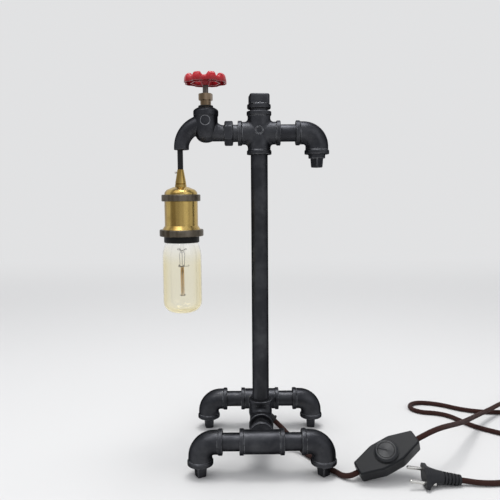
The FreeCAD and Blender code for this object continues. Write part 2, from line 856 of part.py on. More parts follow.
def tap_stem():
    """The screwed stem, its loose jumper and the screw that holds the wheel."""
    thread = s.stem_thread / 2
    body = s.stem_outer / 2
    drive = s.stem_drive / 2
    stem_low = jumper_high + s.slide_gap
    stem_high = hub_high - s.hub_recess - s.slide_gap
    pin_bore = s.jumper_pin / 2 + s.slide_gap
    screw_bore = s.wheel_screw_shank / 2 + s.slide_gap
    screw_low = hub_high - s.hub_recess - s.wheel_screw_long
    node("tap_stem", turned([
        (pin_bore, stem_low),
        (thread, stem_low),
        (thread, stem_low + s.stem_thread_tall),
        (body, stem_low + s.stem_thread_tall),
        (body, hub_low - s.slide_gap),
        (drive, hub_low - s.slide_gap),
        (drive, stem_high),
        (screw_bore, stem_high),
        (screw_bore, screw_low - 1),
        (0, screw_low - 1),
        (0, stem_low + s.jumper_pin_tall + 1),
        (pin_bore, stem_low + s.jumper_pin_tall + 1),
    ]), STEM)
    disc = s.jumper_outer / 2
    node("valve_jumper", turned([
        (0, jumper_high - s.jumper_tall),
        (disc, jumper_high - s.jumper_tall, 0.5),
        (disc, jumper_high),
        (s.jumper_pin / 2, jumper_high),
        (s.jumper_pin / 2, jumper_high + s.jumper_pin_tall),
        (0, jumper_high + s.jumper_pin_tall),
    ]), STEM)
    head_low = hub_high - s.hub_recess
    node("handwheel_screw", turned([
        (0, screw_low),
        (s.wheel_screw_shank / 2, screw_low),
        (s.wheel_screw_shank / 2, head_low),
        (s.wheel_screw_head / 2, head_low),
        (s.wheel_screw_head / 2, head_low + s.wheel_screw_tall, 0.9),
        (0, head_low + s.wheel_screw_tall),
    ]), STEM)


def handwheel():
    """A hollow rim with eight round lobes, four spokes and a tapered hub. Z = 0 is the rim's underside."""
    body = doc.addObject("PartDesign::Body", "Wheel")
    z_axis = (origin_feature(body, "Z_Axis"), [""])

    def revolve(kind, corners):
        sketch = outline(body, corners)
        feature = body.newObject(f"PartDesign::{kind}", kind)
        feature.Profile = sketch
        feature.ReferenceAxis = (sketch, ["V_Axis"])
        feature.Angle = 360
        return feature

    def shaped(kind, place, **numbers):
        feature = body.newObject(f"PartDesign::{kind}", kind)
        bind(feature, **numbers)
        feature.MapMode = "Deactivated"
        feature.Placement = place
        return feature

    def repeated(features, count):
        pattern = body.newObject("PartDesign::PolarPattern", "Pattern")
        pattern.Originals = features
        pattern.Axis = z_axis
        pattern.Angle = 360
        pattern.Occurrences = count
        body.Tip = pattern

    inner = s.rim_middle / 2 - s.rim_wide / 2
    outer = s.rim_middle / 2 + s.rim_wide / 2
    revolve("Revolution", [
        (inner, 0),
        (outer, 0),
        (outer, s.rim_tall, s.rim_round),
        (inner, s.rim_tall, s.rim_round),
    ])
    angle = math.radians(7.5)
    lobe_x, lobe_y = s.lobe_middle / 2 * math.cos(angle), s.lobe_middle / 2 * math.sin(angle)
    lobe, hollow = s.lobe_outer / 2, s.lobe_outer / 2 - s.rim_wall
    dome = s.lobe_tall - lobe
    foot, crown = at(lobe_x, lobe_y), at(lobe_x, lobe_y, dome)
    repeated([
        shaped("AdditiveCylinder", foot, Radius=lobe, Height=dome),
        shaped("AdditiveSphere", crown, Radius=lobe, Angle1=0),
    ], 8)
    spoke_place = at(0, -s.spoke_wide / 2, s.spoke_lift)
    spoke = shaped("AdditiveBox", spoke_place, Length=inner + 1, Width=s.spoke_wide, Height=s.spoke_thick)
    repeated([spoke], 4)
    top = s.hub_tall - s.hub_drop
    revolve("Revolution", [
        (0, -s.hub_drop),
        (s.hub_tip / 2, -s.hub_drop),
        (s.hub_top / 2, top - 3),
        (s.hub_top / 2, top, 0.8),
        (0, top),
    ])
    channel_in, channel_out = inner + s.rim_wall, outer - s.rim_wall
    channel_high = s.rim_tall - s.rim_wall
    revolve("Groove", [(channel_in, -1), (channel_out, -1), (channel_out, channel_high), (channel_in, channel_high)])
    repeated([
        shaped("SubtractiveCylinder", foot, Radius=hollow, Height=dome),
        shaped("SubtractiveSphere", crown, Radius=hollow, Angle1=0),
    ], 8)
    drive = s.stem_drive / 2 + s.slide_gap
    recess = s.wheel_screw_head / 2 + s.slide_gap
    seat = top - s.hub_recess
    last = revolve("Groove", [
        (0, -s.hub_drop - 1),
        (drive, -s.hub_drop - 1),
        (drive, seat),
        (recess, seat),
        (recess, top + 1),
        (0, top + 1),
    ])
    body.Tip = last
    node("handwheel", body, at(stem_x, 0, cross_height + wheel_low, spin(60)))


tap_body()
tap_head()
tap_stem()
handwheel()


# ---------------------------------------------------------------- lamp lead and holder
# From here down heights are counted from the floor.

pivot_height = lip_height + s.knuckle_lift
lead_end = pivot_height + s.knuckle_outer / 2 + s.soft_gap
drop_start = pivot_height - s.knuckle_outer / 2 - s.soft_gap
grip_high = lip_height - s.lead_show
cap_high = grip_high - s.grip_tall
dome_low = cap_high - s.cap_dome_tall
shell_high = dome_low - s.cap_skirt_tall
shell_low = shell_high - s.shell_tall
ring_low = shell_low - s.lower_ring_tall
insert_low = ring_low - s.insert_skirt_tall
hang_x = mouth_x - s.hang_offset
HANGER = at(hang_x)


def lead():
    """The black lead, from the bush in the base up through the pipes to the mouth of the tap."""
    join = exit_spot - exit_direction * (s.grommet_depth + s.soft_gap)
    points = [
        tuple(join),
        (0, 0, lead_turn_height),
        (0, 0, cross_height),
        (-55, 0, cross_height),
        (-75, 0, cross_height + 10.8),
        (-89.5, 0, cross_height + 7.8),
        (mouth_x, 0, cross_height - 1.8),
        (hang_x, 0, lead_end),
    ]
    cord("lamp_lead", points, s.lead_outer, float(s.lead_bend))
    ball = s.knuckle_outer / 2
    node("lead_knuckle", primitive("Sphere", None, Radius=ball), at(hang_x, 0, pivot_height))
    drop = drop_start - (cap_high - s.grip_thread_tall)
    node("lead_drop", cylinder(s.lead_outer / 2, drop), at(hang_x, 0, cap_high - s.grip_thread_tall))
    return join


def cap_and_grip():
    bore = s.lead_outer / 2 + s.thread_gap
    waist = cap_high + s.grip_skirt
    grip = turned([
        (bore, cap_high - s.grip_thread_tall),
        (s.grip_thread / 2, cap_high - s.grip_thread_tall),
        (s.grip_thread / 2, cap_high),
        (s.grip_bottom / 2, cap_high),
        (s.grip_bottom / 2, waist - 0.8),
        (s.grip_waist / 2 - 0.6, waist - 0.4),
        (s.grip_waist / 2, waist + 0.4),
        (s.grip_top / 2, grip_high, 0.3),
        (bore, grip_high),
    ])
    screw_height = grip_high - s.grip_screw_below
    screw = s.grip_screw / 2
    screw_start = s.lead_outer / 2 + 2 * s.thread_gap
    hole = cylinder(screw + s.thread_gap, s.grip_bottom, at(z=screw_height, turn=towards(LEFT)))
    node("cord_grip", cut(grip, hole), HANGER)
    place = at(hang_x - screw_start, 0, screw_height, towards(LEFT))
    node("grip_screw", turned([
        (0, 0),
        (screw, 0),
        (screw, s.grip_screw_long, 0.3),
        (0, s.grip_screw_long),
    ]), place)
    top, side, wall = s.cap_top / 2, s.cap_outer / 2, s.holder_wall
    hole_edge = s.grip_thread / 2 + s.thread_gap
    crest = cap_high - s.cap_dome_tall / 2
    crest_out = side - 2.8
    node("holder_cap", turned([
        (hole_edge, cap_high),
        (top, cap_high, 2.0),
        (crest_out, crest, s.cap_round),
        (side, dome_low, s.cap_round),
        (side, shell_high),
        (side - wall, shell_high),
        (side - wall, dome_low, s.cap_round - wall),
        (crest_out - wall * 0.6, crest - wall, s.cap_round - wall),
        (top, cap_high - wall),
        (hole_edge, cap_high - wall),
    ]), HANGER)


def rings_and_shell():
    """Two shade rings round the brass shell, whose sleeve fits inside the cap."""
    low = shell_high - s.upper_ring_below
    bore = s.shell_outer / 2 + s.thread_gap
    shade = s.upper_ring / 2
    high = low + s.upper_ring_tall
    node("upper_shade_ring", turned([
        (bore, low),
        (shade, low, s.ring_round),
        (shade, high, s.ring_round),
        (bore, high),
    ]), HANGER)
    side, wall = s.shell_outer / 2, s.holder_wall
    flare, knee = s.shell_flare / 2, shell_low + s.shell_flare_tall
    sleeve = s.cap_outer / 2 - wall - s.thread_gap
    node("holder_shell", turned([
        (sleeve - wall, shell_high + s.sleeve_tall),
        (sleeve - wall, shell_high - wall),
        (side - wall, shell_high - wall),
        (side - wall, knee),
        (flare - wall, shell_low),
        (flare, shell_low),
        (side, knee),
        (side, shell_high),
        (sleeve, shell_high),
        (sleeve, shell_high + s.sleeve_tall),
    ]), HANGER)
    bore = side - s.soft_gap
    shade = s.lower_ring / 2
    node("lower_shade_ring", turned([
        (bore, ring_low),
        (shade, ring_low, s.ring_round),
        (shade, shell_low, s.ring_round),
        (bore, shell_low),
    ]), HANGER)


screw_low = insert_low + s.insert_mouth_tall + s.screw_shell_inset
screw_high = screw_low + s.screw_shell_tall
roof_low = screw_high + s.screw_shell_inset


def insert_and_contacts():
    """The black insert with its mouth, the screwed shell inside it and the contact above."""
    inside = s.shell_outer / 2 - s.holder_wall - s.thread_gap
    ring_bore = s.shell_outer / 2 - s.soft_gap - s.thread_gap
    throat = s.screw_shell_inner / 2 + s.screw_shell_wall + s.thread_gap
    mouth_high = insert_low + s.insert_mouth_tall
    node("holder_insert", turned([
        (0, roof_low + s.insert_roof),
        (inside, roof_low + s.insert_roof),
        (inside, shell_low + s.holder_wall),
        (ring_bore, shell_low),
        (ring_bore, ring_low),
        (s.insert_skirt / 2, ring_low),
        (s.insert_skirt / 2, insert_low, 1.0),
        (s.insert_mouth / 2, insert_low),
        (s.insert_throat / 2, mouth_high),
        (throat, mouth_high),
        (throat, roof_low),
        (0, roof_low),
    ]), HANGER)
    inner = s.screw_shell_inner / 2
    node("screw_shell", tube(inner, inner + s.screw_shell_wall, screw_low, screw_high), HANGER)
    contact = s.contact_wide / 2
    node("centre_contact", turned([
        (0, roof_low - s.contact_thick),
        (contact, roof_low - s.contact_thick, 0.3),
        (contact, roof_low),
        (0, roof_low),
    ]), HANGER)


lead_join = lead()
cap_and_grip()
rings_and_shell()
insert_and_contacts()


# ---------------------------------------------------------------- bulb

contact_high = roof_low - s.contact_thick - s.soft_gap
cone_high = contact_high - s.bulb_contact_tall - s.slide_gap
cap_edge = cone_high - s.bulb_cone_tall
cap_low = cap_edge - s.bulb_cap_tall
glass_low = insert_low - s.bulb_show


def bulb():
    """Glass, cap, contact, mount and filament of a tubular lamp."""
    cap, end, wall = s.bulb_cap / 2, s.bulb_cap_end / 2, s.bulb_cap_wall
    node("bulb_cap", turned([
        (cap - wall, cap_low),
        (cap, cap_low),
        (cap, cap_edge),
        (end, cone_high),
        (0, cone_high),
        (0, cone_high - wall),
        (end - wall, cone_high - wall),
        (cap - wall, cap_edge),
    ]), HANGER)
    node("bulb_contact", turned([
        (0, contact_high - s.bulb_contact_tall),
        (s.bulb_contact / 2, contact_high - s.bulb_contact_tall),
        (s.bulb_contact / 2, contact_high, 0.9),
        (0, contact_high),
    ]), HANGER)
    neck, glass, thin = s.bulb_neck / 2, s.bulb_glass / 2, s.glass_wall
    neck_top = cap_low + s.glass_depth
    shoulder = cap_low - s.bulb_shoulder
    node("bulb_glass", turned([
        (neck, neck_top),
        (neck - thin, neck_top),
        (neck - thin, cap_low),
        (glass - thin, shoulder, s.bulb_shoulder_round - thin),
        (glass - thin, glass_low + thin, s.bulb_end_round - thin),
        (0, glass_low + thin),
        (0, glass_low),
        (glass, glass_low, s.bulb_end_round),
        (glass, shoulder, s.bulb_shoulder_round),
        (neck, cap_low),
    ]), HANGER)
    stem = s.mount_outer / 2
    foot = neck - thin - s.thread_gap
    mount_low = cap_low - s.mount_tall
    stem_solid = turned([
        (0, neck_top),
        (foot, neck_top),
        (foot, neck_top - 2),
        (stem, neck_top - 8),
        (stem, cap_low - 6),
        (2, cap_low - 12, 1.5),
        (2, mount_low + 2),
        (3, mount_low + 1),
        (3, mount_low),
        (0, mount_low),
    ])
    node("bulb_mount", stem_solid, HANGER)
    return mount_low


def filament(top):
    """A cage of fine wire: zigzags down and up round a circle, hung from two leads off the mount."""
    reach = float(s.filament_middle) / 2
    high, low = float(top - s.filament_drop), float(top - s.filament_drop - s.filament_tall)
    count = 8
    points = []
    for i in range(count):
        angle = 2 * math.pi * (i + 0.5) / count
        points.append(Vector(reach * math.cos(angle), reach * math.sin(angle), high if i % 2 else low))
    start, end = points[0], points[-1]
    top_spot = float(top) - float(s.soft_gap)
    points = [Vector(1.6, 0.6, top_spot), Vector(start.x, start.y, high)] + points
    points = points + [Vector(end.x, end.y, high + 1), Vector(1.6, -0.6, top_spot)]
    radius = float(s.filament_outer) / 2
    rods = []
    for a, b in zip(points, points[1:]):
        rods.append(Part.makeCylinder(radius, (b - a).Length, a, b - a))
    balls = [Part.makeSphere(radius, p) for p in points[1:-1]]
    wire = rods[0].multiFuse(rods[1:] + balls)
    piece = doc.addObject("Part::Feature", "Filament")
    piece.Shape = wire
    node("bulb_filament", piece, HANGER)


filament(bulb())


# ---------------------------------------------------------------- dimmer
# It rests on one corner with its right end held up by the cord. Its own X runs along it and its own
# Z out of its face.

DIMMER_SPOT = Vector(145.5, -83.5, 27.9)
DIMMER_LONG = Vector(0.893, 0.154, 0.424).normalize()
DIMMER_ACROSS = Vector(-0.365, 0.798, 0.479).normalize()
DIMMER_FACE = DIMMER_LONG.cross(DIMMER_ACROSS).normalize()
DIMMER = Placement(DIMMER_SPOT, axes(tuple(DIMMER_LONG), tuple(DIMMER_ACROSS), tuple(DIMMER_FACE)))


def boat(inset):
    """The dimmer's outline seen from its face, drawn in by an inset."""
    long, end = s.dimmer_long / 2 - inset, s.dimmer_end / 2 - inset
    waist, wide = s.dimmer_waist / 2, s.dimmer_wide / 2 - inset
    corner, bulge = s.dimmer_corner, s.dimmer_bulge
    rear = [(long, end, corner), (waist, wide, bulge), (-waist, wide, bulge), (-long, end, corner)]
    front = [(x, -y, r) for x, y, r in reversed(rear)]
    return rear + front


def dimmer():
    half, wall = s.dimmer_thick / 2, s.dimmer_wall
    cord_hole = s.cord_outer / 2 + s.thread_gap

    def cord_way():
        return cylinder(cord_hole, s.dimmer_long + 2, at(-s.dimmer_long / 2 - 1, turn=towards(RIGHT)))

    upside_down = spin(180, RIGHT)
    tray = slab(boat(0), half, at(turn=upside_down), s.dimmer_edge)
    tray_hollow = slab(boat(wall), half - wall, at(turn=upside_down))
    node("dimmer_base", cut(tray, tray_hollow, cord_way()), DIMMER)
    seat = cylinder(s.knob_seat / 2, s.knob_seat_tall, at(z=half))
    lid = fused([slab(boat(0), half, None, s.dimmer_edge), seat])
    lid_hollow = slab(boat(wall), half - wall)
    shaft_hole = cylinder(s.knob_shaft / 2 + s.slide_gap, s.dimmer_thick)
    cover = cut(lid, lid_hollow, cord_way(), shaft_hole)
    node("dimmer_cover", cover, DIMMER)
    seat_high = half + s.knob_seat_tall + s.slide_gap
    shaft, base, top = s.knob_shaft / 2, s.knob_base / 2, s.knob_top / 2
    knob_high = seat_high + s.knob_tall
    knob = turned([
        (0, 0),
        (shaft, 0),
        (shaft, seat_high),
        (base, seat_high),
        (base, seat_high + 1.2),
        (top, knob_high, 1.0),
        (0, knob_high),
    ])
    mark = slab(rectangle(top / 2 - 1, s.knob_mark / 2), 1, at(top / 2, 0, knob_high - s.knob_mark / 2))
    node("dimmer_knob", cut(knob, mark), Placement(DIMMER_SPOT, DIMMER.Rotation.multiply(spin(140))))
    board_low = -half + wall + s.slide_gap
    board = slab(rectangle(s.board_long / 2, s.board_wide / 2), s.board_thick, at(z=board_low))
    control = cylinder(s.control_outer / 2, s.control_tall, at(z=board_low + s.board_thick))
    shaft_way = cylinder(s.knob_shaft / 2 + s.slide_gap, half, at(z=-s.slide_gap))
    node("dimmer_board", cut(fused([board, control]), shaft_way), DIMMER)


dimmer()


# ---------------------------------------------------------------- mains lead

PLUG_FACE = Vector(183.0, -100.2, 11.85)
PLUG_ACROSS = Vector(0.056, 0.905, 0.42)
PLUG_UP = Vector(-0.118, 0.423, -0.896)
PLUG_AHEAD = PLUG_ACROSS.cross(PLUG_UP).normalize()
COIL_X, COIL_Y = 362.0, -36.0

low = float(s.cord_lift)
long_half = float(s.dimmer_long) / 2
left_end = DIMMER_SPOT - DIMMER_LONG * long_half
right_end = DIMMER_SPOT + DIMMER_LONG * long_half
entry = float(s.cord_entry)
plug_end = PLUG_FACE - PLUG_AHEAD * float(s.plug_long)

LAMP_END = [
    tuple(lead_join),
    tuple(exit_spot + exit_direction * 17),
    (43, -9, 12.5),
    (57, -22, low),
    (70, -35, low),
    (81, -48, low),
    (88, -60, low),
    (90.5, -72, low),
    (94.5, -81.5, low),
    (101, -87.5, 6.0),
    tuple(left_end - DIMMER_LONG * 2),
    tuple(left_end + DIMMER_LONG * entry),
]

LONG_END = [
    tuple(right_end - DIMMER_LONG * entry),
    tuple(right_end + DIMMER_LONG * 7),
    (199, -73, 52),
    (212, -66, 53.5),
    (225, -55, 51.5),
    (240, -37, 46),
    (260, -9, 37),
    (287, 30, 27),
    (315, 70, 17),
    (338, 92, 15),
    (366, 117, 15),
    (387, 135, 11.5),
    (400, 157, 6.5),
    (411, 180, low),
    (431, 195, low),
    (456, 190, low),
    (468, 167, low),
    (459, 141, low),
    (437, 124, low),
    (413, 113, low),
    (387, 108.5, low),
    (362, 110.5, low),
    (330, 113.5, low),
    (304, 126, low),
    (284, 144, low),
    (262, 153, low),
    (244.7, 153, low),
    (233, 141.3, low),
    (233, 124.7, low),
    (244.7, 113, low),
    (264, 110, low),
    (281, 99, low),
    (291, 79, low),
    (303, 58, low),
    (324, 39, low),
    (347, 22, low),
    (366, 6.5, low),
    (385, -6.5, low),
]

PLUG_END = [
    (366, -71, 9.4),
    (345, -75, 8.4),
    (322, -80.5, low),
    (299, -90, low),
    (275, -102, low),
    (248, -103, 4),
    tuple(plug_end - PLUG_AHEAD * 6),
    tuple(plug_end),
]

cord("cord_lamp_end", LAMP_END, s.cord_outer)
cord("cord_long", LONG_END, s.cord_outer)
cord("cord_plug_end", PLUG_END, s.cord_outer)


def coil():
    """The outer shape of the neat coil that holds the rest of the length."""
    inner = s.coil_middle / 2 - s.coil_wide / 2
    outer = s.coil_middle / 2 + s.coil_wide / 2
    soft = s.cord_outer / 2
    base = s.cord_lift - s.cord_outer / 2
    top = base + s.coil_tall
    corners = [(inner, base, soft), (outer, base, soft), (outer, top, soft), (inner, top, soft)]
    node("cord_coil", turned(corners), at(COIL_X, COIL_Y))


coil()


# ---------------------------------------------------------------- plug
# Its own X runs across the two pins and its own Z the way they point. Z = 0 is its face.


def ellipse(half_x, half_y, height):
    return primitive("Ellipse", at(z=height), MajorRadius=half_x, MinorRadius=half_y)


def plug():
    half, side, flat = s.plug_face_long / 2, s.plug_face_wide / 2, s.plug_face_flat / 2
    hexagonal = [
        (half, -flat / 2, 1.5),
        (half, flat / 2, 1.5),
        (flat, side, 3),
        (-flat, side, 3),
        (-half, flat / 2, 1.5),
        (-half, -flat / 2, 1.5),
        (-flat, -side, 3),
        (flat, -side, 3),
    ]
    face = slab(hexagonal, s.plug_face_thick, at(turn=spin(180, RIGHT)), 1.2)
    tail = s.plug_tail / 2
    body = doc.addObject("Part::Loft", "PlugBody")
    body.Sections = [
        ellipse(half - 3, side - 0.9, -s.plug_face_thick + 1),
        ellipse(half - 6, side - 1.1, -s.plug_face_thick - 5),
        ellipse(tail + 1.6, tail + 1.0, -s.plug_long / 2 - 2),
        ellipse(tail + 0.01, tail, -s.plug_long),
    ]
    body.Solid = True
    pins = [at(x, 0, -s.pin_depth) for x in (-s.pin_pitch / 2, s.pin_pitch / 2)]
    holes = [cylinder(s.pin_outer / 2 + s.thread_gap, s.pin_depth + 1, place) for place in pins]
    ribs = []
    for i in range(5):
        height = -s.plug_long + 3 + i * s.rib_pitch
        width = s.rib_pitch * 0.4
        ribs.append(tube(tail - s.rib_depth * (1 - 0.12 * i), tail + 4, height, height + width))
    place = Placement(PLUG_FACE, axes(tuple(PLUG_ACROSS), tuple(PLUG_UP), tuple(PLUG_AHEAD)))
    node("plug_body", cut(fused([face, body]), *holes, *ribs), place)
    prongs = []
    for spot in pins:
        long = s.pin_depth + s.pin_long
        prongs.append(turned([(0, 0), (s.pin_outer / 2, 0), (s.pin_outer / 2, long, 1.8), (0, long)], spot))
    pair = doc.addObject("Part::Compound", "Pins")
    pair.Links = prongs
    node("plug_pins", pair, place)


plug()


# ---------------------------------------------------------------- origin, checks and files

left_extent = s.mouth_reach + s.lower_ring / 2
right_extent = spread + s.collar_outer / 2
to_origin = Vector((left_extent - right_extent) / 2, 0, 0)
for piece in nodes.values():
    piece.Placement = Placement(piece.Placement.Base + to_origin, piece.Placement.Rotation)
doc.recompute()

faults = [f"{t.Label} ({t.Name})" for t in doc.Objects if "Invalid" in t.State or "Error" in t.State]
for label, piece in nodes.items():
    if piece.Shape.isNull() or not piece.Shape.isValid() or not piece.Shape.Solids:
        faults.append(f"{label}: bad shape")
if faults:
    raise RuntimeError(", ".join(faults))

os.makedirs("parts", exist_ok=True)
for label, piece in nodes.items():
    piece.Shape.exportStep(f"parts/{label}.step")
print(len(nodes), "nodes; upright at x =", round(to_origin.x, 3))
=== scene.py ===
import math

import bmesh
import bpy
import numpy as np
from mathutils import Matrix, Vector


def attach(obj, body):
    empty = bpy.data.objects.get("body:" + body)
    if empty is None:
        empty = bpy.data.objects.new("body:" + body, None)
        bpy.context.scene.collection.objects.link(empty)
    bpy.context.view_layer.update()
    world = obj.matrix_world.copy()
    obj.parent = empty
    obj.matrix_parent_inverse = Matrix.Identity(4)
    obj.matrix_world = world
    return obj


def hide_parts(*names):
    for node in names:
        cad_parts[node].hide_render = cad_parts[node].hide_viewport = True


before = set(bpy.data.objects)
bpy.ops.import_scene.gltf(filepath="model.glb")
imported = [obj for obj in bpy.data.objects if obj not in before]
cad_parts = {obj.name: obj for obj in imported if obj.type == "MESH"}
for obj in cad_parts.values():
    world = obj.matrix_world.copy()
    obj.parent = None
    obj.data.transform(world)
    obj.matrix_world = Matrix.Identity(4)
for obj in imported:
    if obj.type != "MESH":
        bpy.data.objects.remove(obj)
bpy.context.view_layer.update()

bl_info = {
    "name": "Pipe table lamp",
    "version": (1, 0, 0),
    "blender": (4, 5, 0),
    "location": "3D View > Sidebar > Pipe lamp",
    "description": "Finishes and fine shapes of a table lamp built from black pipe fittings",
    "category": "Object",
}

MM = 0.001
# The upright's foot in the lamp's frame. Shapes are in millimetres from it, the rest in metres.
UPRIGHT = np.array((18.1, 0.0, 0.0))
# How far the tap's spindle and the hanging bulb stand from the upright, and the heights of the two
# arms, the handwheel's hub and the underside of its rim.
STEM_X, HANG_X = -66.0, -98.8
CROSS_Z, WHEEL_Z, RIM_Z = 407.8, 471.1, 469.7


# ---- sizes and colours


def length(name, description, default):
    kind = {"min": 0.0, "precision": 5, "subtype": "DISTANCE", "unit": "LENGTH"}
    return bpy.props.FloatProperty(name=name, description=description, default=default, **kind)


def colour(name, description, default):
    kind = {"size": 4, "min": 0.0, "max": 1.0, "subtype": "COLOR"}
    return bpy.props.FloatVectorProperty(
        name=name, description=description, default=default, **kind
    )


class PipeLampSizes(bpy.types.PropertyGroup):
    cord_diameter: length("Cord", "Thickness of the brown braided cord", 6.4 * MM)
    braid_pitch: length("Braid pitch", "Length of a yarn's turn round the brown cord", 16.0 * MM)
    braid_yarns: bpy.props.IntProperty(
        name="Yarns", description="Yarns that wind each way", default=10, min=3
    )
    filament: length("Filament", "Thickness of the filament wire", 0.45 * MM)
    grain: length("Cast grain", "Size of the grain in the cast fittings", 0.9 * MM)


class PipeLampColours(bpy.types.PropertyGroup):
    iron: colour("Iron", "Black paint on the pipe fittings", (0.034, 0.0348, 0.0388, 1.0))
    # Pale grey of rubbed paint, also the painted highlight on the iron's edges and cast rings.
    worn_iron_and_edge_light: colour("Worn iron", "Paint rubbed thin on edges", (0.30, 0.305, 0.32, 1.0))
    wheel: colour("Wheel", "Red enamel of the handwheel", (0.40, 0.012, 0.020, 1.0))
    # Also the colour the handwheel turns to towards its bottom.
    wheel_dark: colour("Wheel, worn", "Chipped or dirty enamel", (0.030, 0.010, 0.010, 1.0))
    brass: colour("Brass", "Aged brass of the lamp holder", (0.50, 0.355, 0.11, 1.0))
    old_brass: colour("Old brass", "Brass of the tap's neck and nut", (0.27, 0.205, 0.135, 1.0))
    shade_ring: colour("Shade rings", "Dark rings round the holder", (0.125, 0.108, 0.080, 1.0))
    glass: colour("Bulb glass", "Amber tint of the bulb", (0.990, 0.962, 0.850, 1.0))
    glass_edge: colour("Glass edge", "Bulb glass seen edge-on", (0.945, 0.845, 0.52, 1.0))
    # The cord's two colours are also the painted shade between yarns and the painted light on their
    # crowns.
    cord: colour("Cord", "Brown yarn of the cord", (0.020, 0.0075, 0.006, 1.0))
    cord_light_yarn_and_lit_crowns: colour("Cord, light", "Lighter yarn of the cord", (0.060, 0.024, 0.019, 1.0))
    plastic: colour("Plastic", "Black plastic of the dimmer", (0.0046, 0.0052, 0.0066, 1.0))
    floor: colour("Floor", "Pale floor and backdrop", (0.66, 0.656, 0.648, 1.0))


def sizes():
    return bpy.context.scene.pipe_lamp_sizes


def colours():
    return bpy.context.scene.pipe_lamp_colours


# ---- shader helpers


def fill(tree, made, inputs):
    """Links or sets a node's inputs, given by name or number."""
    for key, value in dict(inputs).items():
        if isinstance(value, bpy.types.NodeSocket):
            tree.links.new(value, made.inputs[key])
        else:
            made.inputs[key].default_value = value


def add(tree, kind, inputs=(), **settings):
    """Adds a node, makes its settings and fills its inputs."""
    made = tree.nodes.new(kind)
    for name, value in settings.items():
        setattr(made, name, value)
    fill(tree, made, inputs)
    return made


def maths(tree, operation, a, b=0.0, clamp=False):
    made = add(tree, "ShaderNodeMath", {0: a, 1: b}, operation=operation, use_clamp=clamp)
    return made.outputs[0]


def vector_maths(tree, operation, a, b=(0.0, 0.0, 0.0), output="Vector"):
    made = add(tree, "ShaderNodeVectorMath", {0: a, 1: b}, operation=operation)
    return made.outputs[output]


def mixed(tree, factor, a, b):
    """One colour going over into another."""
    return add(tree, "ShaderNodeMix", {0: factor, 6: a, 7: b}, data_type="RGBA").outputs[2]


def ranged(tree, value, low, high, to_low=0.0, to_high=1.0):
    """Stretches a value from one range to another, and holds it there."""
    ends = {"From Min": low, "From Max": high, "To Min": to_low, "To Max": to_high}
    return add(tree, "ShaderNodeMapRange", {"Value": value, **ends}, clamp=True).outputs["Result"]


def own_space(tree):
    """The place of each point in its object, in metres."""
    return add(tree, "ShaderNodeTexCoord").outputs["Object"]


def along_axis(tree, where, axis):
    return add(tree, "ShaderNodeSeparateXYZ", {0: where}).outputs[axis]


def noise(tree, where, scale, detail, roughness=0.5):
    inputs = {"Vector": where, "Scale": scale, "Detail": detail, "Roughness": roughness}
    return add(tree, "ShaderNodeTexNoise", inputs).outputs["Fac"]


def bumped(tree, height, depth, strength, normal=None):
    bump = add(tree, "ShaderNodeBump", {"Height": height, "Distance": depth, "Strength": strength})
    if normal is not None:
        tree.links.new(normal, bump.inputs["Normal"])
    return bump.outputs["Normal"]


def toned(base, factors, more=0.0):
    """A colour times one factor, or one for each channel, and held to 1."""
    return (*np.minimum(1.0, np.array(base[:3]) * factors + more).tolist(), 1.0)


def group_tree(name, inputs, outputs):
    """An empty node group with named sockets, and its input and output nodes."""
    tree = bpy.data.node_groups.new(name, "ShaderNodeTree")
    for label, kind, default in inputs:
        socket = tree.interface.new_socket(label, in_out="INPUT", socket_type=kind)
        socket.default_value = default
    for label, kind in outputs:
        tree.interface.new_socket(label, in_out="OUTPUT", socket_type=kind)
    return tree, tree.nodes.new("NodeGroupInput").outputs, tree.nodes.new("NodeGroupOutput")


def place(tree, name, inputs):
    """Puts a shared group into a material."""
    return add(tree, "ShaderNodeGroup", inputs, node_tree=bpy.data.node_groups[name]).outputs


def cast_skin(tree, grain, waves):
    return place(tree, "Cast grain", {"Grain size": grain, "Waves": waves})


def worn_edges(tree, radius, amount, gaps):
    inputs = {"Edge radius": radius, "Amount": amount, "Break-up size": gaps}
    return place(tree, "Edge wear", inputs)


def smudged(tree, roughness, spread, size):
    return place(tree, "Smudges", {"Roughness": roughness, "Spread": spread, "Size": size})


def material(name):
    """A new material with its Principled shader."""
    made = bpy.data.materials.new(name)
    made.use_nodes = True
    return made, made.node_tree, made.node_tree.nodes["Principled BSDF"]


def feed(tree, shader, **inputs):
    """Fills the shader's sockets, given with underscores for spaces."""
    fill(tree, shader, {key.replace("_", " "): value for key, value in inputs.items()})


# ---- shared effects

FLOAT, VECTOR = "NodeSocketFloat", "NodeSocketVector"


def make_cast_grain():
    """Pitted skin of a casting: fine grain plus slow waves as a height, and a patchy mask."""
    tree, given, out = group_tree(
        "Cast grain",
        [("Grain size", FLOAT, 0.001), ("Waves", FLOAT, 0.5)],
        [("Height", FLOAT), ("Patches", FLOAT)],
    )
    where = own_space(tree)
    scale = maths(tree, "DIVIDE", 1.0, given["Grain size"])
    fine = noise(tree, where, scale, 3.0, 0.6)
    slow = noise(tree, where, maths(tree, "MULTIPLY", scale, 0.12), 2.0)
    height = maths(tree, "ADD", fine, maths(tree, "MULTIPLY", slow, given["Waves"]))
    patches = ranged(tree, noise(tree, where, 38.0, 5.0, 0.65), 0.40, 0.66)
    fill(tree, out, {"Height": height, "Patches": patches})


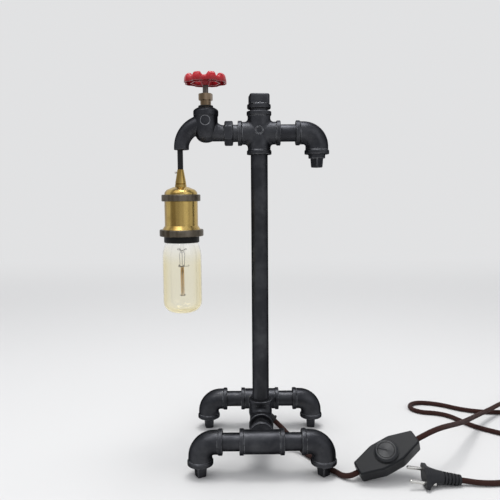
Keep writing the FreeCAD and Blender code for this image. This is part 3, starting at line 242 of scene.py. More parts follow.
def make_edge_wear():
    """Softened edges, and a mask along them where paint rubs off, which the iron's finish also uses
    as a painted highlight: how far the rounded normal leans from the plain one, broken up by noise."""
    tree, given, out = group_tree(
        "Edge wear",
        [("Edge radius", FLOAT, 0.0006), ("Amount", FLOAT, 0.5), ("Break-up size", FLOAT, 0.002)],
        [("Mask", FLOAT), ("Normal", VECTOR)],
    )
    soft = add(tree, "ShaderNodeBevel", {"Radius": given["Edge radius"]}, samples=4).outputs[0]
    plain = add(tree, "ShaderNodeNewGeometry").outputs["Normal"]
    ridge = ranged(tree, vector_maths(tree, "DOT_PRODUCT", soft, plain, "Value"), 0.995, 0.90)
    scale = maths(tree, "DIVIDE", 1.0, given["Break-up size"])
    gaps = ranged(tree, noise(tree, own_space(tree), scale, 4.0, 0.7), 0.35, 0.60)
    broken = maths(tree, "MULTIPLY", ridge, gaps)
    mask = maths(tree, "MULTIPLY", broken, given["Amount"], clamp=True)
    fill(tree, out, {"Mask": mask, "Normal": soft})


def make_braid():
    """Two sets of yarns wound both ways round a cord, over and under, from the cord's own UV.

    V goes once round the cord and U is metres along it. Each set's phase is yarns times V plus or
    minus yarns times U over pitch, and a yarn is a rounded ridge, the sine of half a turn for each
    whole phase. In each diamond between whole phases of both sets the one on top swaps, as in a
    chequer, and its ridge dips towards the sides of the diamond.
    """
    tree, given, out = group_tree(
        "Braid",
        [("Pitch", FLOAT, 0.012), ("Yarns", FLOAT, 8.0)],
        [("Height", FLOAT), ("Over", FLOAT)],
    )
    uv = add(tree, "ShaderNodeUVMap", uv_map="UVMap").outputs["UV"]
    turns = maths(tree, "DIVIDE", along_axis(tree, uv, "X"), given["Pitch"])
    along = maths(tree, "MULTIPLY", turns, given["Yarns"])
    around = maths(tree, "MULTIPLY", along_axis(tree, uv, "Y"), given["Yarns"])
    phases = [maths(tree, "ADD", around, along), maths(tree, "SUBTRACT", around, along)]
    halves = [maths(tree, "MULTIPLY", maths(tree, "FRACT", p), math.pi) for p in phases]
    ridges = [maths(tree, "SINE", half) for half in halves]
    cells = maths(tree, "ADD", *[maths(tree, "FLOOR", p) for p in phases])
    over = maths(tree, "FLOORED_MODULO", cells, 2.0)
    heights = []
    for own, other in (ridges, reversed(ridges)):
        heights.append(maths(tree, "MULTIPLY", own, ranged(tree, other, 0.0, 1.0, 0.35, 1.0)))
    sides = {0: over, 2: heights[0], 3: heights[1]}
    height = add(tree, "ShaderNodeMix", sides, data_type="FLOAT").outputs[0]
    fill(tree, out, {"Height": height, "Over": over})


def make_smudges():
    """Slow change of gloss over a surface, as fingers and dust leave it."""
    tree, given, out = group_tree(
        "Smudges",
        [("Roughness", FLOAT, 0.4), ("Spread", FLOAT, 0.1), ("Size", FLOAT, 0.02)],
        [("Roughness", FLOAT), ("Dust", FLOAT)],
    )
    scale = maths(tree, "DIVIDE", 1.0, given["Size"])
    patches = noise(tree, own_space(tree), scale, 4.0, 0.55)
    swing = maths(tree, "MULTIPLY", maths(tree, "SUBTRACT", patches, 0.5), given["Spread"])
    roughness = maths(tree, "ADD", given["Roughness"], swing, clamp=True)
    fill(tree, out, {"Roughness": roughness, "Dust": ranged(tree, patches, 0.5, 0.8)})


# ---- finishes

# A point on the dimmer knob's axis and its direction, the radii over which the sides of its groove
# and its dot slope, and the fine rings' wave in radians for each metre of radius.
KNOB_SPOT, KNOB_AXIS = (0.1636, -0.0835, 0.0279), (-0.264532, -0.582387, 0.768666)
GROOVE_IN, GROOVE_OUT, DOT_OUT = (0.0090, 0.0094), (0.0099, 0.0103), (0.0008, 0.0012)
KNOB_RINGS = 9000.0
# The heights between which the handwheel turns darker downwards and the bulb's amber goes clear.
DARKENING_TOP_Z, DARKEST_Z = 0.4745, 0.4695
AMBER_Z, CLEAR_Z = 0.248, 0.276
GLASS = {"Roughness": 0.0, "Transmission_Weight": 1.0, "IOR": 1.45}


def iron_finish(name, grain, wear, roughness, worn_and_lit_all=0.0):
    """Black iron with a satin shine, greyer where it is rubbed, greyer on its edges as worn paint
    and as painted highlight, and duller seen edge-on."""
    made, tree, shader = material(name)
    tint = colours()
    cast = cast_skin(tree, grain, 0.9)
    rubbed = worn_edges(tree, 1.3 * MM, wear, 6 * MM)
    # Rubbed patches, and a paleness all over that on the cast rings is partly painted highlight.
    patches = ranged(tree, cast["Patches"], 0.0, 1.0, worn_and_lit_all, worn_and_lit_all + 0.1)
    base = mixed(tree, patches, tint.iron, tint.worn_iron_and_edge_light)
    # Pale edges: partly worn paint, partly painted highlight.
    base = mixed(tree, rubbed["Mask"], base, tint.worn_iron_and_edge_light)
    gloss = smudged(tree, roughness, 0.22, 18 * MM)
    edge_on = add(tree, "ShaderNodeLayerWeight", {"Blend": 0.5}).outputs["Facing"]
    duller = ranged(tree, edge_on, 0.5, 1.0, 0.0, 0.5)
    dull = maths(tree, "ADD", gloss["Roughness"], duller, clamp=True)
    normal = bumped(tree, cast["Height"], 0.22 * MM, 0.6, rubbed["Normal"])
    feed(tree, shader, Base_Color=base, Roughness=dull, Normal=normal)
    feed(tree, shader, Metallic=1.0, Specular_Tint=(0.06, 0.06, 0.07, 1.0))
    return made


def wheel_finish():
    """Glossy red enamel, worn on the ridges, chipped, and darker towards the bottom."""
    made, tree, shader = material("Red enamel")
    tint = colours()
    rubbed = worn_edges(tree, 0.5 * MM, 0.9, 2.4 * MM)
    cast = cast_skin(tree, 1.2 * MM, 1.6)
    where = own_space(tree)
    chips = ranged(tree, noise(tree, where, 170.0, 5.0, 0.7), 0.60, 0.68)
    worn = maths(tree, "MAXIMUM", maths(tree, "MULTIPLY", rubbed["Mask"], 0.55), chips)
    # Darker towards the bottom of the rim.
    darker_below = ranged(tree, along_axis(tree, where, "Z"), DARKENING_TOP_Z, DARKEST_Z, 0.0, 0.45)
    base = mixed(tree, maths(tree, "MAXIMUM", worn, darker_below), tint.wheel, tint.wheel_dark)
    gloss = smudged(tree, 0.24, 0.25, 6 * MM)
    normal = bumped(tree, cast["Height"], 0.4 * MM, 0.5, rubbed["Normal"])
    feed(tree, shader, Base_Color=base, Roughness=gloss["Roughness"], Normal=normal)
    feed(tree, shader, Coat_Weight=0.12, Coat_Roughness=0.10, Specular_IOR_Level=0.2)
    return made


def brass_finish(name, base_colour, roughness, tarnish, axis_x):
    """Turned brass round an upright axis: fine rings, broad soft light and dark bands down it as
    painted reflections, and brown tarnish."""
    made, tree, shader = material(name)
    where = own_space(tree)
    squeezed = {"Vector": where, "Scale": (40.0, 40.0, 2600.0)}
    lines = noise(tree, add(tree, "ShaderNodeMapping", squeezed).outputs[0], 1.0, 2.0)
    moved = {"Vector": where, "Location": (-axis_x, 0.0, 0.0)}
    centred = add(tree, "ShaderNodeMapping", moved).outputs[0]
    drawn_out = vector_maths(tree, "MULTIPLY", centred, (1.0, 1.0, 0.02))
    # Painted reflections: broad light and dark bands down the brass, round its axis.
    painted_reflection_bands = noise(tree, drawn_out, 105.0, 1.0)
    spots = ranged(tree, noise(tree, where, 60.0, 5.0, 0.62), 0.50, 0.74, 0.0, tarnish)
    # The brown is both the tarnish and the dark of the painted bands; the bright is only the light
    # of those bands.
    brown = toned(base_colour, (0.42, 0.37, 0.32))
    bright = toned(base_colour, (1.25, 1.25, 1.35))
    base = mixed(tree, ranged(tree, painted_reflection_bands, 0.38, 0.62), brown, bright)
    base = mixed(tree, 0.1, base, base_colour)
    base = mixed(tree, spots, base, brown)
    gloss = smudged(tree, roughness, 0.08, 12 * MM)
    normal = bumped(tree, lines, 0.04 * MM, 0.12)
    feed(tree, shader, Base_Color=base, Roughness=gloss["Roughness"], Normal=normal)
    feed(tree, shader, Metallic=1.0)
    return made


def metal_finish(name, base_colour, roughness):
    """Plain bright metal with light handling marks."""
    made, tree, shader = material(name)
    gloss = smudged(tree, roughness, 0.12, 6 * MM)
    base = mixed(tree, gloss["Dust"], base_colour, toned(base_colour, 0.72))
    feed(tree, shader, Base_Color=base, Roughness=gloss["Roughness"], Metallic=1.0)
    return made


def plastic_finish(name, base_colour, roughness, grain):
    """Moulded black plastic with a fine spark-eroded skin and a little dust."""
    made, tree, shader = material(name)
    cast = cast_skin(tree, grain, 0.2)
    gloss = smudged(tree, roughness, 0.14, 14 * MM)
    dust = maths(tree, "MULTIPLY", gloss["Dust"], 0.4)
    base = mixed(tree, dust, base_colour, toned(base_colour, 1.9, 0.004))
    soft = worn_edges(tree, 0.5 * MM, 0.0, 10 * MM)
    normal = bumped(tree, cast["Height"], 0.06 * MM, 0.5, soft["Normal"])
    feed(tree, shader, Base_Color=base, Roughness=gloss["Roughness"], Normal=normal)
    feed(tree, shader, Specular_IOR_Level=0.2)
    return made


def knob_finish():
    """The dimmer knob: plastic turned in fine rings about the knob's axis, with a deeper groove and
    a dot in the middle, both painted near black as shade in them."""
    made, tree, shader = material("Dimmer knob")
    out = vector_maths(tree, "SUBTRACT", own_space(tree), KNOB_SPOT)
    aside = vector_maths(tree, "CROSS_PRODUCT", out, KNOB_AXIS)
    radius = vector_maths(tree, "LENGTH", aside, output="Value")
    inside = ranged(tree, radius, *GROOVE_OUT, 1.0, 0.0)
    groove = maths(tree, "MULTIPLY", ranged(tree, radius, *GROOVE_IN), inside)
    dot = ranged(tree, radius, *DOT_OUT, 1.0, 0.0)
    rings = maths(tree, "SINE", maths(tree, "MULTIPLY", radius, KNOB_RINGS))
    cuts = maths(tree, "ADD", groove, dot)
    height = maths(tree, "SUBTRACT", maths(tree, "MULTIPLY", rings, 0.05), cuts)
    pale, dark = toned(colours().plastic, 1.5, 0.002), (0.002, 0.002, 0.002, 1.0)
    # Painted shade: the groove and the dot near black.
    base = mixed(tree, maths(tree, "MAXIMUM", groove, dot), pale, dark)
    feed(tree, shader, Base_Color=base, Roughness=0.34, Normal=bumped(tree, height, 0.6 * MM, 0.8))
    feed(tree, shader, Specular_IOR_Level=0.35)
    return made


def braid_finish(name, dark, light):
    """Woven textile sleeve: yarns both ways, one set a little lighter, with stray fibres, their
    crowns painted light and the dips between them painted as shade.
    """
    made, tree, shader = material(name)
    weave = place(tree, "Braid", {"Pitch": sizes().braid_pitch, "Yarns": sizes().braid_yarns})
    fibres = noise(tree, own_space(tree), 2600.0, 2.0)
    # Colour follows the yarns' height: painted light on their crowns, painted shade between them.
    lit = maths(tree, "MULTIPLY", weave["Height"], ranged(tree, fibres, 0.3, 0.7, 0.55, 1.0))
    lit = maths(tree, "MULTIPLY", lit, ranged(tree, weave["Over"], 0.0, 1.0, 0.75, 1.0))
    height = maths(tree, "ADD", weave["Height"], maths(tree, "MULTIPLY", fibres, 0.25))
    base = mixed(tree, lit, dark, light)
    feed(tree, shader, Base_Color=base, Roughness=0.85, Normal=bumped(tree, height, 0.35 * MM, 0.9))
    feed(tree, shader, Sheen_Weight=0.06, Sheen_Roughness=0.5, Specular_IOR_Level=0.1)
    return made


def stem_glass_finish():
    """Clear glass with a trace of yellow."""
    made, tree, shader = material("Stem glass")
    feed(tree, shader, Base_Color=(0.985, 0.985, 0.975, 1.0), **GLASS)
    return made


def bulb_glass_finish():
    """Clear at the neck and amber below, deeper where the wall is seen edge-on."""
    made, tree, shader = material("Amber glass")
    where = own_space(tree)
    waves = maths(tree, "MULTIPLY", noise(tree, where, 30.0, 1.0), 0.008)
    height = maths(tree, "ADD", along_axis(tree, where, "Z"), waves)
    clear = ranged(tree, height, AMBER_Z, CLEAR_Z)
    edge_on = add(tree, "ShaderNodeLayerWeight", {"Blend": 0.4}).outputs["Facing"]
    amber = mixed(tree, ranged(tree, edge_on, 0.12, 0.75), colours().glass, colours().glass_edge)
    feed(tree, shader, Base_Color=mixed(tree, clear, amber, (1.0, 0.998, 0.99, 1.0)), **GLASS)
    return made


def dress(names, finish):
    """Gives CAD nodes a finish."""
    for name in names:
        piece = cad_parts[name]
        piece.data.materials.clear()
        piece.data.materials.append(finish)


# ---- mesh helpers


def quads(rows, columns, along_closed):
    """Faces between the rows of a grid of points, each a ring. The last row joins the first if the
    grid is closed along."""
    row, column = np.meshgrid(
        np.arange(rows if along_closed else rows - 1), np.arange(columns), indexing="ij"
    )
    next_row, next_column = (row + 1) % rows, (column + 1) % columns
    corners = (
        row * columns + column,
        row * columns + next_column,
        next_row * columns + next_column,
        next_row * columns + column,
    )
    return np.stack(corners, axis=-1).reshape(-1, 4).tolist()


class Mesh:
    """Points and faces of a piece, gathered shape by shape."""

    def __init__(self):
        self.points, self.faces, self.count = [], [], 0

    def grid(self, points, along_closed=False, capped=False):
        """A grid of points as rows, columns and three numbers, its end rings filled if capped."""
        rows, columns = points.shape[:2]
        faces = quads(rows, columns, along_closed)
        if capped:
            faces.append(list(range(columns))[::-1])
            faces.append(list(range((rows - 1) * columns, rows * columns)))
        self.faces += [[corner + self.count for corner in face] for face in faces]
        self.points.append(points.reshape(-1, 3))
        self.count += rows * columns

    def piece(self, name, finish, body, slot, sharp_from=40.0):
        """The finished object, riding on a body, with normals turned outwards and smooth shading
        up to an angle in degrees."""
        mesh = bpy.data.meshes.new(name)
        mesh.from_pydata(((np.vstack(self.points) + UPRIGHT) * MM).tolist(), [], self.faces)
        work = bmesh.new()
        work.from_mesh(mesh)
        bmesh.ops.recalc_face_normals(work, faces=work.faces)
        work.to_mesh(mesh)
        work.free()
        mesh.shade_smooth()
        mesh.set_sharp_from_angle(angle=math.radians(sharp_from))
        mesh.materials.append(finish)
        made = bpy.data.objects.new(name, mesh)
        bpy.context.scene.collection.objects.link(made)
        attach(made, body)
        return made


def rounds(count, start=0.0):
    """Angles evenly round a circle."""
    return start + 2 * np.pi * np.arange(count) / count


def turned(profile, centre, columns=96):
    """A surface of revolution about a vertical axis: each row of the profile, a radius and a
    height, goes round the centre as radius times cosine and sine of the angle."""
    profile = np.array(profile, float)
    angle = rounds(columns)
    x = centre[0] + profile[:, :1] * np.cos(angle)
    y = centre[1] + profile[:, :1] * np.sin(angle)
    z = np.broadcast_to(centre[2] + profile[:, 1:], x.shape)
    return np.stack([x, y, z], axis=-1)


def unit(vectors):
    """Vectors over their own lengths."""
    return vectors / np.linalg.norm(vectors, axis=-1, keepdims=True)


def tube(line, radius, columns=20, beside=(0.0, 0.0, 1.0)):
    """A round tube along a line: at each point a circle, radius times cosine sideways and sine
    across, square to the line's direction. A radius may change along the line."""
    line = np.array(line, float)
    ahead = unit(np.gradient(line, axis=0))
    side = unit(np.cross(ahead, beside))
    lift = np.cross(side, ahead)
    angle = rounds(columns)[None, :, None]
    radius = np.broadcast_to(np.asarray(radius, float), len(line))[:, None, None]
    return line[:, None] + radius * (np.cos(angle) * side[:, None] + np.sin(angle) * lift[:, None])


def eased(value):
    """Goes from 0 to 1 with a soft start and end."""
    value = np.clip(value, 0.0, 1.0)
    return value * value * (3.0 - 2.0 * value)


# ---- pipe fittings


CORNERS = ["front_left", "front_right", "rear_left", "rear_right"]
IRON_CAST = [f"{corner}_{part}" for part in ("elbow", "foot_plug") for corner in CORNERS]
IRON_CAST += ["front_tee", "rear_tee", "centre_tee", "head_cross", "top_plug"]
IRON_CAST += ["right_arm_elbow", "right_arm_plug", "tap_body"]
IRON_PIPE = [f"{corner}_nipple" for corner in CORNERS]
IRON_PIPE += ["front_link_nipple", "rear_link_nipple", "upright_pipe", "right_arm_nipple"]

# The tap's barrel as radius and height from the arms' axis: bowl, wall, collar, seat, chamber.
BARREL = [
    (0.3, -11.2), (3.5, -11.0), (6.6, -10.1), (9.4, -8.3), (11.8, -5.6), (13.5, -2.4),
    (14.4, 1.4), (14.7, 5.5), (14.7, 20.6), (15.3, 21.4), (15.6, 22.4), (15.6, 27.2),
    (15.0, 28.6), (13.2, 30.0), (10.6, 31.4), (9.2, 31.7), (9.2, 24.2), (11.0, 24.2),
    (11.0, -5.4), (8.0, -6.0), (0.3, -6.0),
]
# The spout: its bend, how far the bend's middle lies under the arms, its radius at the mouth, how
# much it gains, and its straight lip. Then the radii of the bore, the neck and the screwed end.
SPOUT_BEND, SPOUT_DROP, SPOUT_RADIUS, SPOUT_GAIN, LIP = 31.0, 16.8, 9.35, 1.45, 3.0
BORE, NECK_RADIUS, SCREWED_RADIUS = 7.0, 9.8, 10.65
SCREWED_END_X = -14.6
# Where the neck is lifted most on its way into the barrel, by how much and how fast that fades.
LIFT_X, LIFT, LIFT_FADE = -53.5, 7.0, 3.2
# The hexagon: the distance of its flats, and along it the radius that a cone holds it to.
HEXAGON_FLAT = 13.5
HEXAGON_HELD = np.array([
    (-43.1, 14.1), (-42.2, 15.6), (-41.5, 16.0), (-34.1, 16.0), (-33.4, 15.6), (-32.5, 14.1),
])


def spout():
    """A quarter bend about a point under the barrel, after a straight lip. From the mouth on its
    section eases thicker and moves in by as much, so that the outside keeps its curve."""
    angle = np.linspace(math.pi, math.radians(92.0), 48)
    more = SPOUT_GAIN * eased((math.pi - angle) / 1.1)
    reach = SPOUT_BEND - more
    x, z = STEM_X + reach * np.cos(angle), CROSS_Z - SPOUT_DROP + reach * np.sin(angle)
    line = np.stack([x, 0 * angle, z], axis=-1)
    line = np.concatenate([line[:1] - (0.0, 0.0, LIP), line])
    across = (0.0, 1.0, 0.0)
    outer = tube(line, SPOUT_RADIUS + np.concatenate([[0.0], more]), 48, across)
    inner = tube(line, BORE, 48, across)
    return np.concatenate([outer, inner[::-1]])


def inlet():
    """The neck from the hexagon to the barrel. Its upper half is lifted by an exponential of the
    distance from one place, times a power of how far up its section each point is."""
    x = np.linspace(-42.0, -62.0, 60)
    line = np.stack([x, 0 * x, CROSS_Z + 0 * x], axis=-1)
    outer = tube(line, NECK_RADIUS, 48)
    above = np.clip(outer[..., 2] - CROSS_Z, 0.0, None) / NECK_RADIUS
    outer[..., 2] += LIFT * np.exp(-np.abs(x - LIFT_X) / LIFT_FADE)[:, None] * above**1.5
    inner = tube(line, BORE, 48)
    return np.concatenate([outer, inner[::-1]])


def tap_hexagon():
    """The hexagon and the screwed end beside it. The radius is the flat distance over the cosine
    of the angle within each side, held by a cone at both faces."""
    around = rounds(96, math.radians(4.0))
    flats = HEXAGON_FLAT / np.cos((around + math.pi / 6) % (math.pi / 3) - math.pi / 6)
    along, limits = HEXAGON_HELD.T
    rows = [np.minimum(flats, limit) for limit in limits]
    rows += [0 * around + radius for radius in (SCREWED_RADIUS, SCREWED_RADIUS, BORE, BORE)]
    out = np.array(rows)
    x = np.array([*along, along[-1], SCREWED_END_X, SCREWED_END_X, along[0]])[:, None] + 0 * out
    return np.stack([x, out * np.cos(around), CROSS_Z + out * np.sin(around)], axis=-1)


# The raised rings on the fronts of the barrel, the cross and the right elbow: radius, place, and
# how far the face round that place lies in front of the lamp's middle plane.
CAST_RINGS = [
    (5.9, STEM_X, CROSS_Z + 15.0, lambda x, z: np.sqrt(14.55**2 - x**2)),
    (4.4, 0.0, CROSS_Z + 2.4, lambda x, z: 13.3 + 0 * x),
    (3.8, 67.3, CROSS_Z - 3.6,
     lambda x, z: np.sqrt(13.1**2 - (np.hypot(x + 12.3, z + 13.4) - 17.0) ** 2)),
]


def raised_ring(reach, x, z, depth):
    """A thin ring half sunk in a front face: a torus whose middle follows the depth of the face at
    each point."""
    around, across = np.meshgrid(rounds(72), rounds(12), indexing="ij")
    out = reach + 0.5 * np.cos(across)
    aside, up = out * np.cos(around), out * np.sin(around)
    return np.stack([x + aside, -depth(aside, up) - 0.5 * np.sin(across), z + up], axis=-1)


class PIPELAMP_OT_fittings(bpy.types.Operator):
    """Paints the pipes and cast fittings, fairs the tap's casting and dresses its small parts"""

    bl_idname = "pipelamp.fittings"
    bl_label = "Pipes and fittings"

    def execute(self, context):
        grain = sizes().grain
        iron = iron_finish("Cast black iron", grain, 1.0, 0.38)
        dress(IRON_CAST, iron)
        dress(IRON_PIPE, iron_finish("Black pipe", grain * 0.6, 0.5, 0.36))
        stem_x = (UPRIGHT[0] + STEM_X) * MM
        old_brass = brass_finish("Old brass", colours().old_brass, 0.36, 0.7, stem_x)
        dress(["tap_bonnet", "gland_nut"], old_brass)
        fibre = plastic_finish("Fibre washer", (0.012, 0.011, 0.010, 1.0), 0.7, 0.5 * MM)
        dress(["bonnet_gasket", "gland_packing"], fibre)
        steel = metal_finish("Dark steel", (0.11, 0.095, 0.085, 1.0), 0.36)
        dress(["tap_stem", "valve_jumper"], steel)
        rubber = plastic_finish("Rubber bush", (0.014, 0.014, 0.014, 1.0), 0.6, 0.4 * MM)
        dress(["cord_grommet"], rubber)
        casting = Mesh()
        casting.grid(turned(BARREL, (STEM_X, 0.0, CROSS_Z)), capped=True)
        for shape in (spout(), inlet(), tap_hexagon()):
            casting.grid(shape, along_closed=True)
        tap = casting.piece("tap_casting", iron, "stand", "black_iron")
        fuse = tap.modifiers.new("Fuse", "REMESH")
        fuse.mode, fuse.voxel_size, fuse.use_smooth_shade = "VOXEL", 0.5 * MM, True
        fair = tap.modifiers.new("Fair", "SMOOTH")
        fair.factor, fair.iterations = 0.5, 6
        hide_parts("tap_body")
        rings = Mesh()
        for ring in CAST_RINGS:
            rings.grid(raised_ring(*ring), along_closed=True)
        # The cast rings are painted pale all over: partly rubbed paint, partly painted highlight on
        # their ridges.
        rubbed = iron_finish("Rubbed and highlit iron", grain, 1.0, 0.32, worn_and_lit_all=0.6)
        rings.piece("cast_rings", rubbed, "stand", "black_iron")
        return {"FINISHED"}


# The handwheel: knobs round its rim, thickness of the rim's skin, start and end of its spokes.
WHEEL_KNOBS, RIM_WALL = 8, 1.3
SPOKE_START, SPOKE_END = 5.5, 18.2


def wheel_rim():
    """A hollow rim with knobs. Round the wheel, the knob height is a cosine of the angle times the
    number of knobs, with its tops and valleys flattened; it widens and raises an arch, whose two
    skins make the section open underneath."""
    around = rounds(384)
    knob = eased((np.cos(WHEEL_KNOBS * around - math.pi) + 0.95) / 1.45)
    arch = np.linspace(-0.12, math.pi + 0.12, 30)
    wide, high = 3.6 + 1.8 * knob, 6.0 + 3.9 * knob
    rows = []
    for wall, sweep in ((0.0, arch), (RIM_WALL, arch[::-1])):
        aside = np.sign(np.cos(sweep)) * np.abs(np.cos(sweep)) ** 0.8
        above = np.clip(np.sin(sweep), 0.0, None) ** 0.8
        below = np.clip(np.sin(sweep), None, 0.0) * 6.0
        out = (20.6 + 0.7 * knob)[:, None] + (wide[:, None] - wall) * aside
        rows.append(np.stack([out, (high[:, None] - wall) * above + below], axis=-1))
    section = np.concatenate(rows, axis=1)
    x = STEM_X + section[..., 0] * np.cos(around)[:, None]
    y = section[..., 0] * np.sin(around)[:, None]
    return np.stack([x, y, RIM_Z + section[..., 1]], axis=-1)


def squared(wave):
    """A wave to the power 0.7 with its sign kept, which squares off a circle."""
    return np.sign(wave) * np.abs(wave) ** 0.7


def wheel_spoke(turn):
    """A flattened spoke: rings of a squared-off ellipse, wide at the hub and narrowing as it goes
    out and up to the rim."""
    out = np.linspace(SPOKE_START, SPOKE_END, 14)[:, None]
    around = rounds(20)[None, :]
    wide = 2.3 + 2.2 * np.exp(-(out - SPOKE_START) / 3.0)
    aside = wide * squared(np.cos(around))
    lift = 2.3 + 0.9 * eased((out - 8) / 8) + 1.6 * squared(np.sin(around))
    out, lift = np.broadcast_arrays(out, lift)
    x = STEM_X + out * math.cos(turn) - aside * math.sin(turn)
    y = out * math.sin(turn) + aside * math.cos(turn)
    return np.stack([x, y, WHEEL_Z + lift], axis=-1)


# The hub as radius and height: skirt, flange, rim of the top and the hollow round the screw.
WHEEL_HUB = [
    (3.0, -4.4), (4.1, -4.4), (4.5, -4.1), (4.9, -2.6), (5.8, -0.4), (7.0, 1.4), (7.5, 2.6),
    (7.5, 4.4), (7.2, 4.95), (6.7, 5.1), (4.7, 5.1), (4.35, 4.9), (4.1, 4.4), (4.1, 2.9),
    (3.0, 2.9),
]


class PIPELAMP_OT_handwheel(bpy.types.Operator):
    """Builds the scalloped handwheel, paints it red and dresses its screw"""

    bl_idname = "pipelamp.handwheel"
    bl_label = "Handwheel"

    def execute(self, context):
        wheel = Mesh()
        wheel.grid(wheel_rim(), along_closed=True)
        for turn in rounds(4, math.radians(60.0)):
            wheel.grid(wheel_spoke(turn), capped=True)
        wheel.grid(turned(WHEEL_HUB, (STEM_X, 0.0, WHEEL_Z)), along_closed=True)
        made = wheel.piece("wheel_casting", wheel_finish(), "stem", "red_paint", 50.0)
        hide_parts("handwheel")
        dress(["handwheel_screw"], metal_finish("Dark screw", (0.10, 0.09, 0.085, 1.0), 0.4))
        return {"FINISHED"}


class PIPELAMP_OT_holder(bpy.types.Operator):
    """Finishes the brass lamp holder, its rings, its insert and its contacts"""

    bl_idname = "pipelamp.holder"
    bl_label = "Lamp holder"

    def execute(self, context):
        axis_x = (UPRIGHT[0] + HANG_X) * MM
        brass = brass_finish("Aged brass", colours().brass, 0.27, 0.3, axis_x)
        dress(["holder_cap", "holder_shell", "cord_grip"], brass)
        dress(["grip_screw"], metal_finish("Steel screw", (0.34, 0.33, 0.32, 1.0), 0.3))
        blackened = brass_finish("Blackened brass", colours().shade_ring, 0.42, 0.6, axis_x)
        dress(["upper_shade_ring", "lower_shade_ring"], blackened)
        insert = plastic_finish("Insert", (0.004, 0.004, 0.0035, 1.0), 0.5, 0.6 * MM)
        dress(["holder_insert"], insert)
        nickel = metal_finish("Nickel", (0.62, 0.60, 0.55, 1.0), 0.28)
        dress(["screw_shell", "centre_contact"], nickel)
        return {"FINISHED"}


# The filament: bends at each end and their sharpness, its middle and half of its height. Then the
# heights of its hooks and the radius of their curls, the wire that carries them, and one lead.
FILAMENT_BENDS, FILAMENT_TURN = 6, 0.985
FILAMENT_Z, FILAMENT_HALF = 222.7, 18.3
TOP_HOOKS_Z, MIDDLE_HOOKS_Z, LOW_HOOKS_Z = 261.5, 241.4, 203.8
CURL = 0.7
CARRIER = [(HANG_X, 0.0, 262.0), (HANG_X, 0.0, 203.5)]
FILAMENT_LEAD = np.array([(2.2, 0.8, 261), (3.4, 0.6, 256), (3.0, 0.2, 249), (2.6, 0, 241.5)])


def filament_line():
    """One fine wire wound up and down a cage: the angle turns evenly once round, and the height is
    a triangle wave with rounded turns, worked out as the arcsine of a sine."""
    along = np.linspace(0.0, 1.0, 720)
    angle = 2 * np.pi * along
    swing = 2 * np.pi * FILAMENT_BENDS * along
    wave = np.arcsin(FILAMENT_TURN * np.sin(swing)) / math.asin(FILAMENT_TURN)
    reach = 1.8 + 0.3 * np.cos(swing)
    x, y = HANG_X + reach * np.cos(angle), reach * np.sin(angle)
    return np.stack([x, y, FILAMENT_Z + FILAMENT_HALF * wave], axis=-1)


def hook(turn, height, reach, rise):
    """A support wire: straight out from the middle and a little up, then curled up and back over
    itself at its end."""
    straight = np.linspace(0.0, 1.0, 8)[:, None] * (reach, rise)
    curl = np.radians(np.linspace(-90.0, 170.0, 12))
    ring = np.stack([reach + CURL * np.cos(curl), rise + CURL + CURL * np.sin(curl)], axis=-1)
    out, lift = np.vstack([straight, ring]).T
    return np.stack([HANG_X + out * math.cos(turn), out * math.sin(turn), height + lift], axis=-1)


def wire(made, line, radius):
    """Adds a fine wire along a line to a mesh."""
    made.grid(tube(line, radius, 8, (0.31, 0.87, 0.38)), capped=True)


class PIPELAMP_OT_bulb(bpy.types.Operator):
    """Finishes the glass and the cap of the bulb, and winds its filament on its support wires"""

    bl_idname = "pipelamp.bulb"
    bl_label = "Bulb"

    def execute(self, context):
        dress(["bulb_glass"], bulb_glass_finish())
        dress(["bulb_mount"], stem_glass_finish())
        cap = metal_finish("Bulb cap", (0.66, 0.64, 0.58, 1.0), 0.3)
        dress(["bulb_cap", "bulb_contact"], cap)
        carbon = Mesh()
        radius = sizes().filament / MM / 2
        carbon.grid(tube(filament_line(), radius, 8, (0.1, 0.2, 0.97)), capped=True)
        finish = metal_finish("Filament wire", (0.74, 0.47, 0.13, 1.0), 0.55)
        filament = carbon.piece("filament_cage", finish, "bulb", "filament", 60.0)
        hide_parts("bulb_filament")
        steel = Mesh()
        for turn in rounds(6, 0.3):
            wire(steel, hook(turn, TOP_HOOKS_Z, 5.0, 1.2), 0.24)
        for turn in rounds(6, 0.1):
            reach = 8.0 if math.cos(3 * turn) > 0 else 3.8
            wire(steel, hook(turn, MIDDLE_HOOKS_Z, reach, 0.3), 0.24)
        for turn in rounds(5, 0.5):
            wire(steel, hook(turn, LOW_HOOKS_Z, 3.0, 0.2), 0.2)
        wire(steel, np.linspace(*CARRIER, 9), 0.3)
        for side in (-1, 1):
            wire(steel, FILAMENT_LEAD * (side, 1, 1) + (HANG_X, 0, 0), 0.25)
        finish = metal_finish("Support wire", (0.06, 0.052, 0.042, 1.0), 0.45)
        steel.piece("filament_supports", finish, "bulb", "filament", 60.0)
        return {"FINISHED"}


# ---- leads and cords

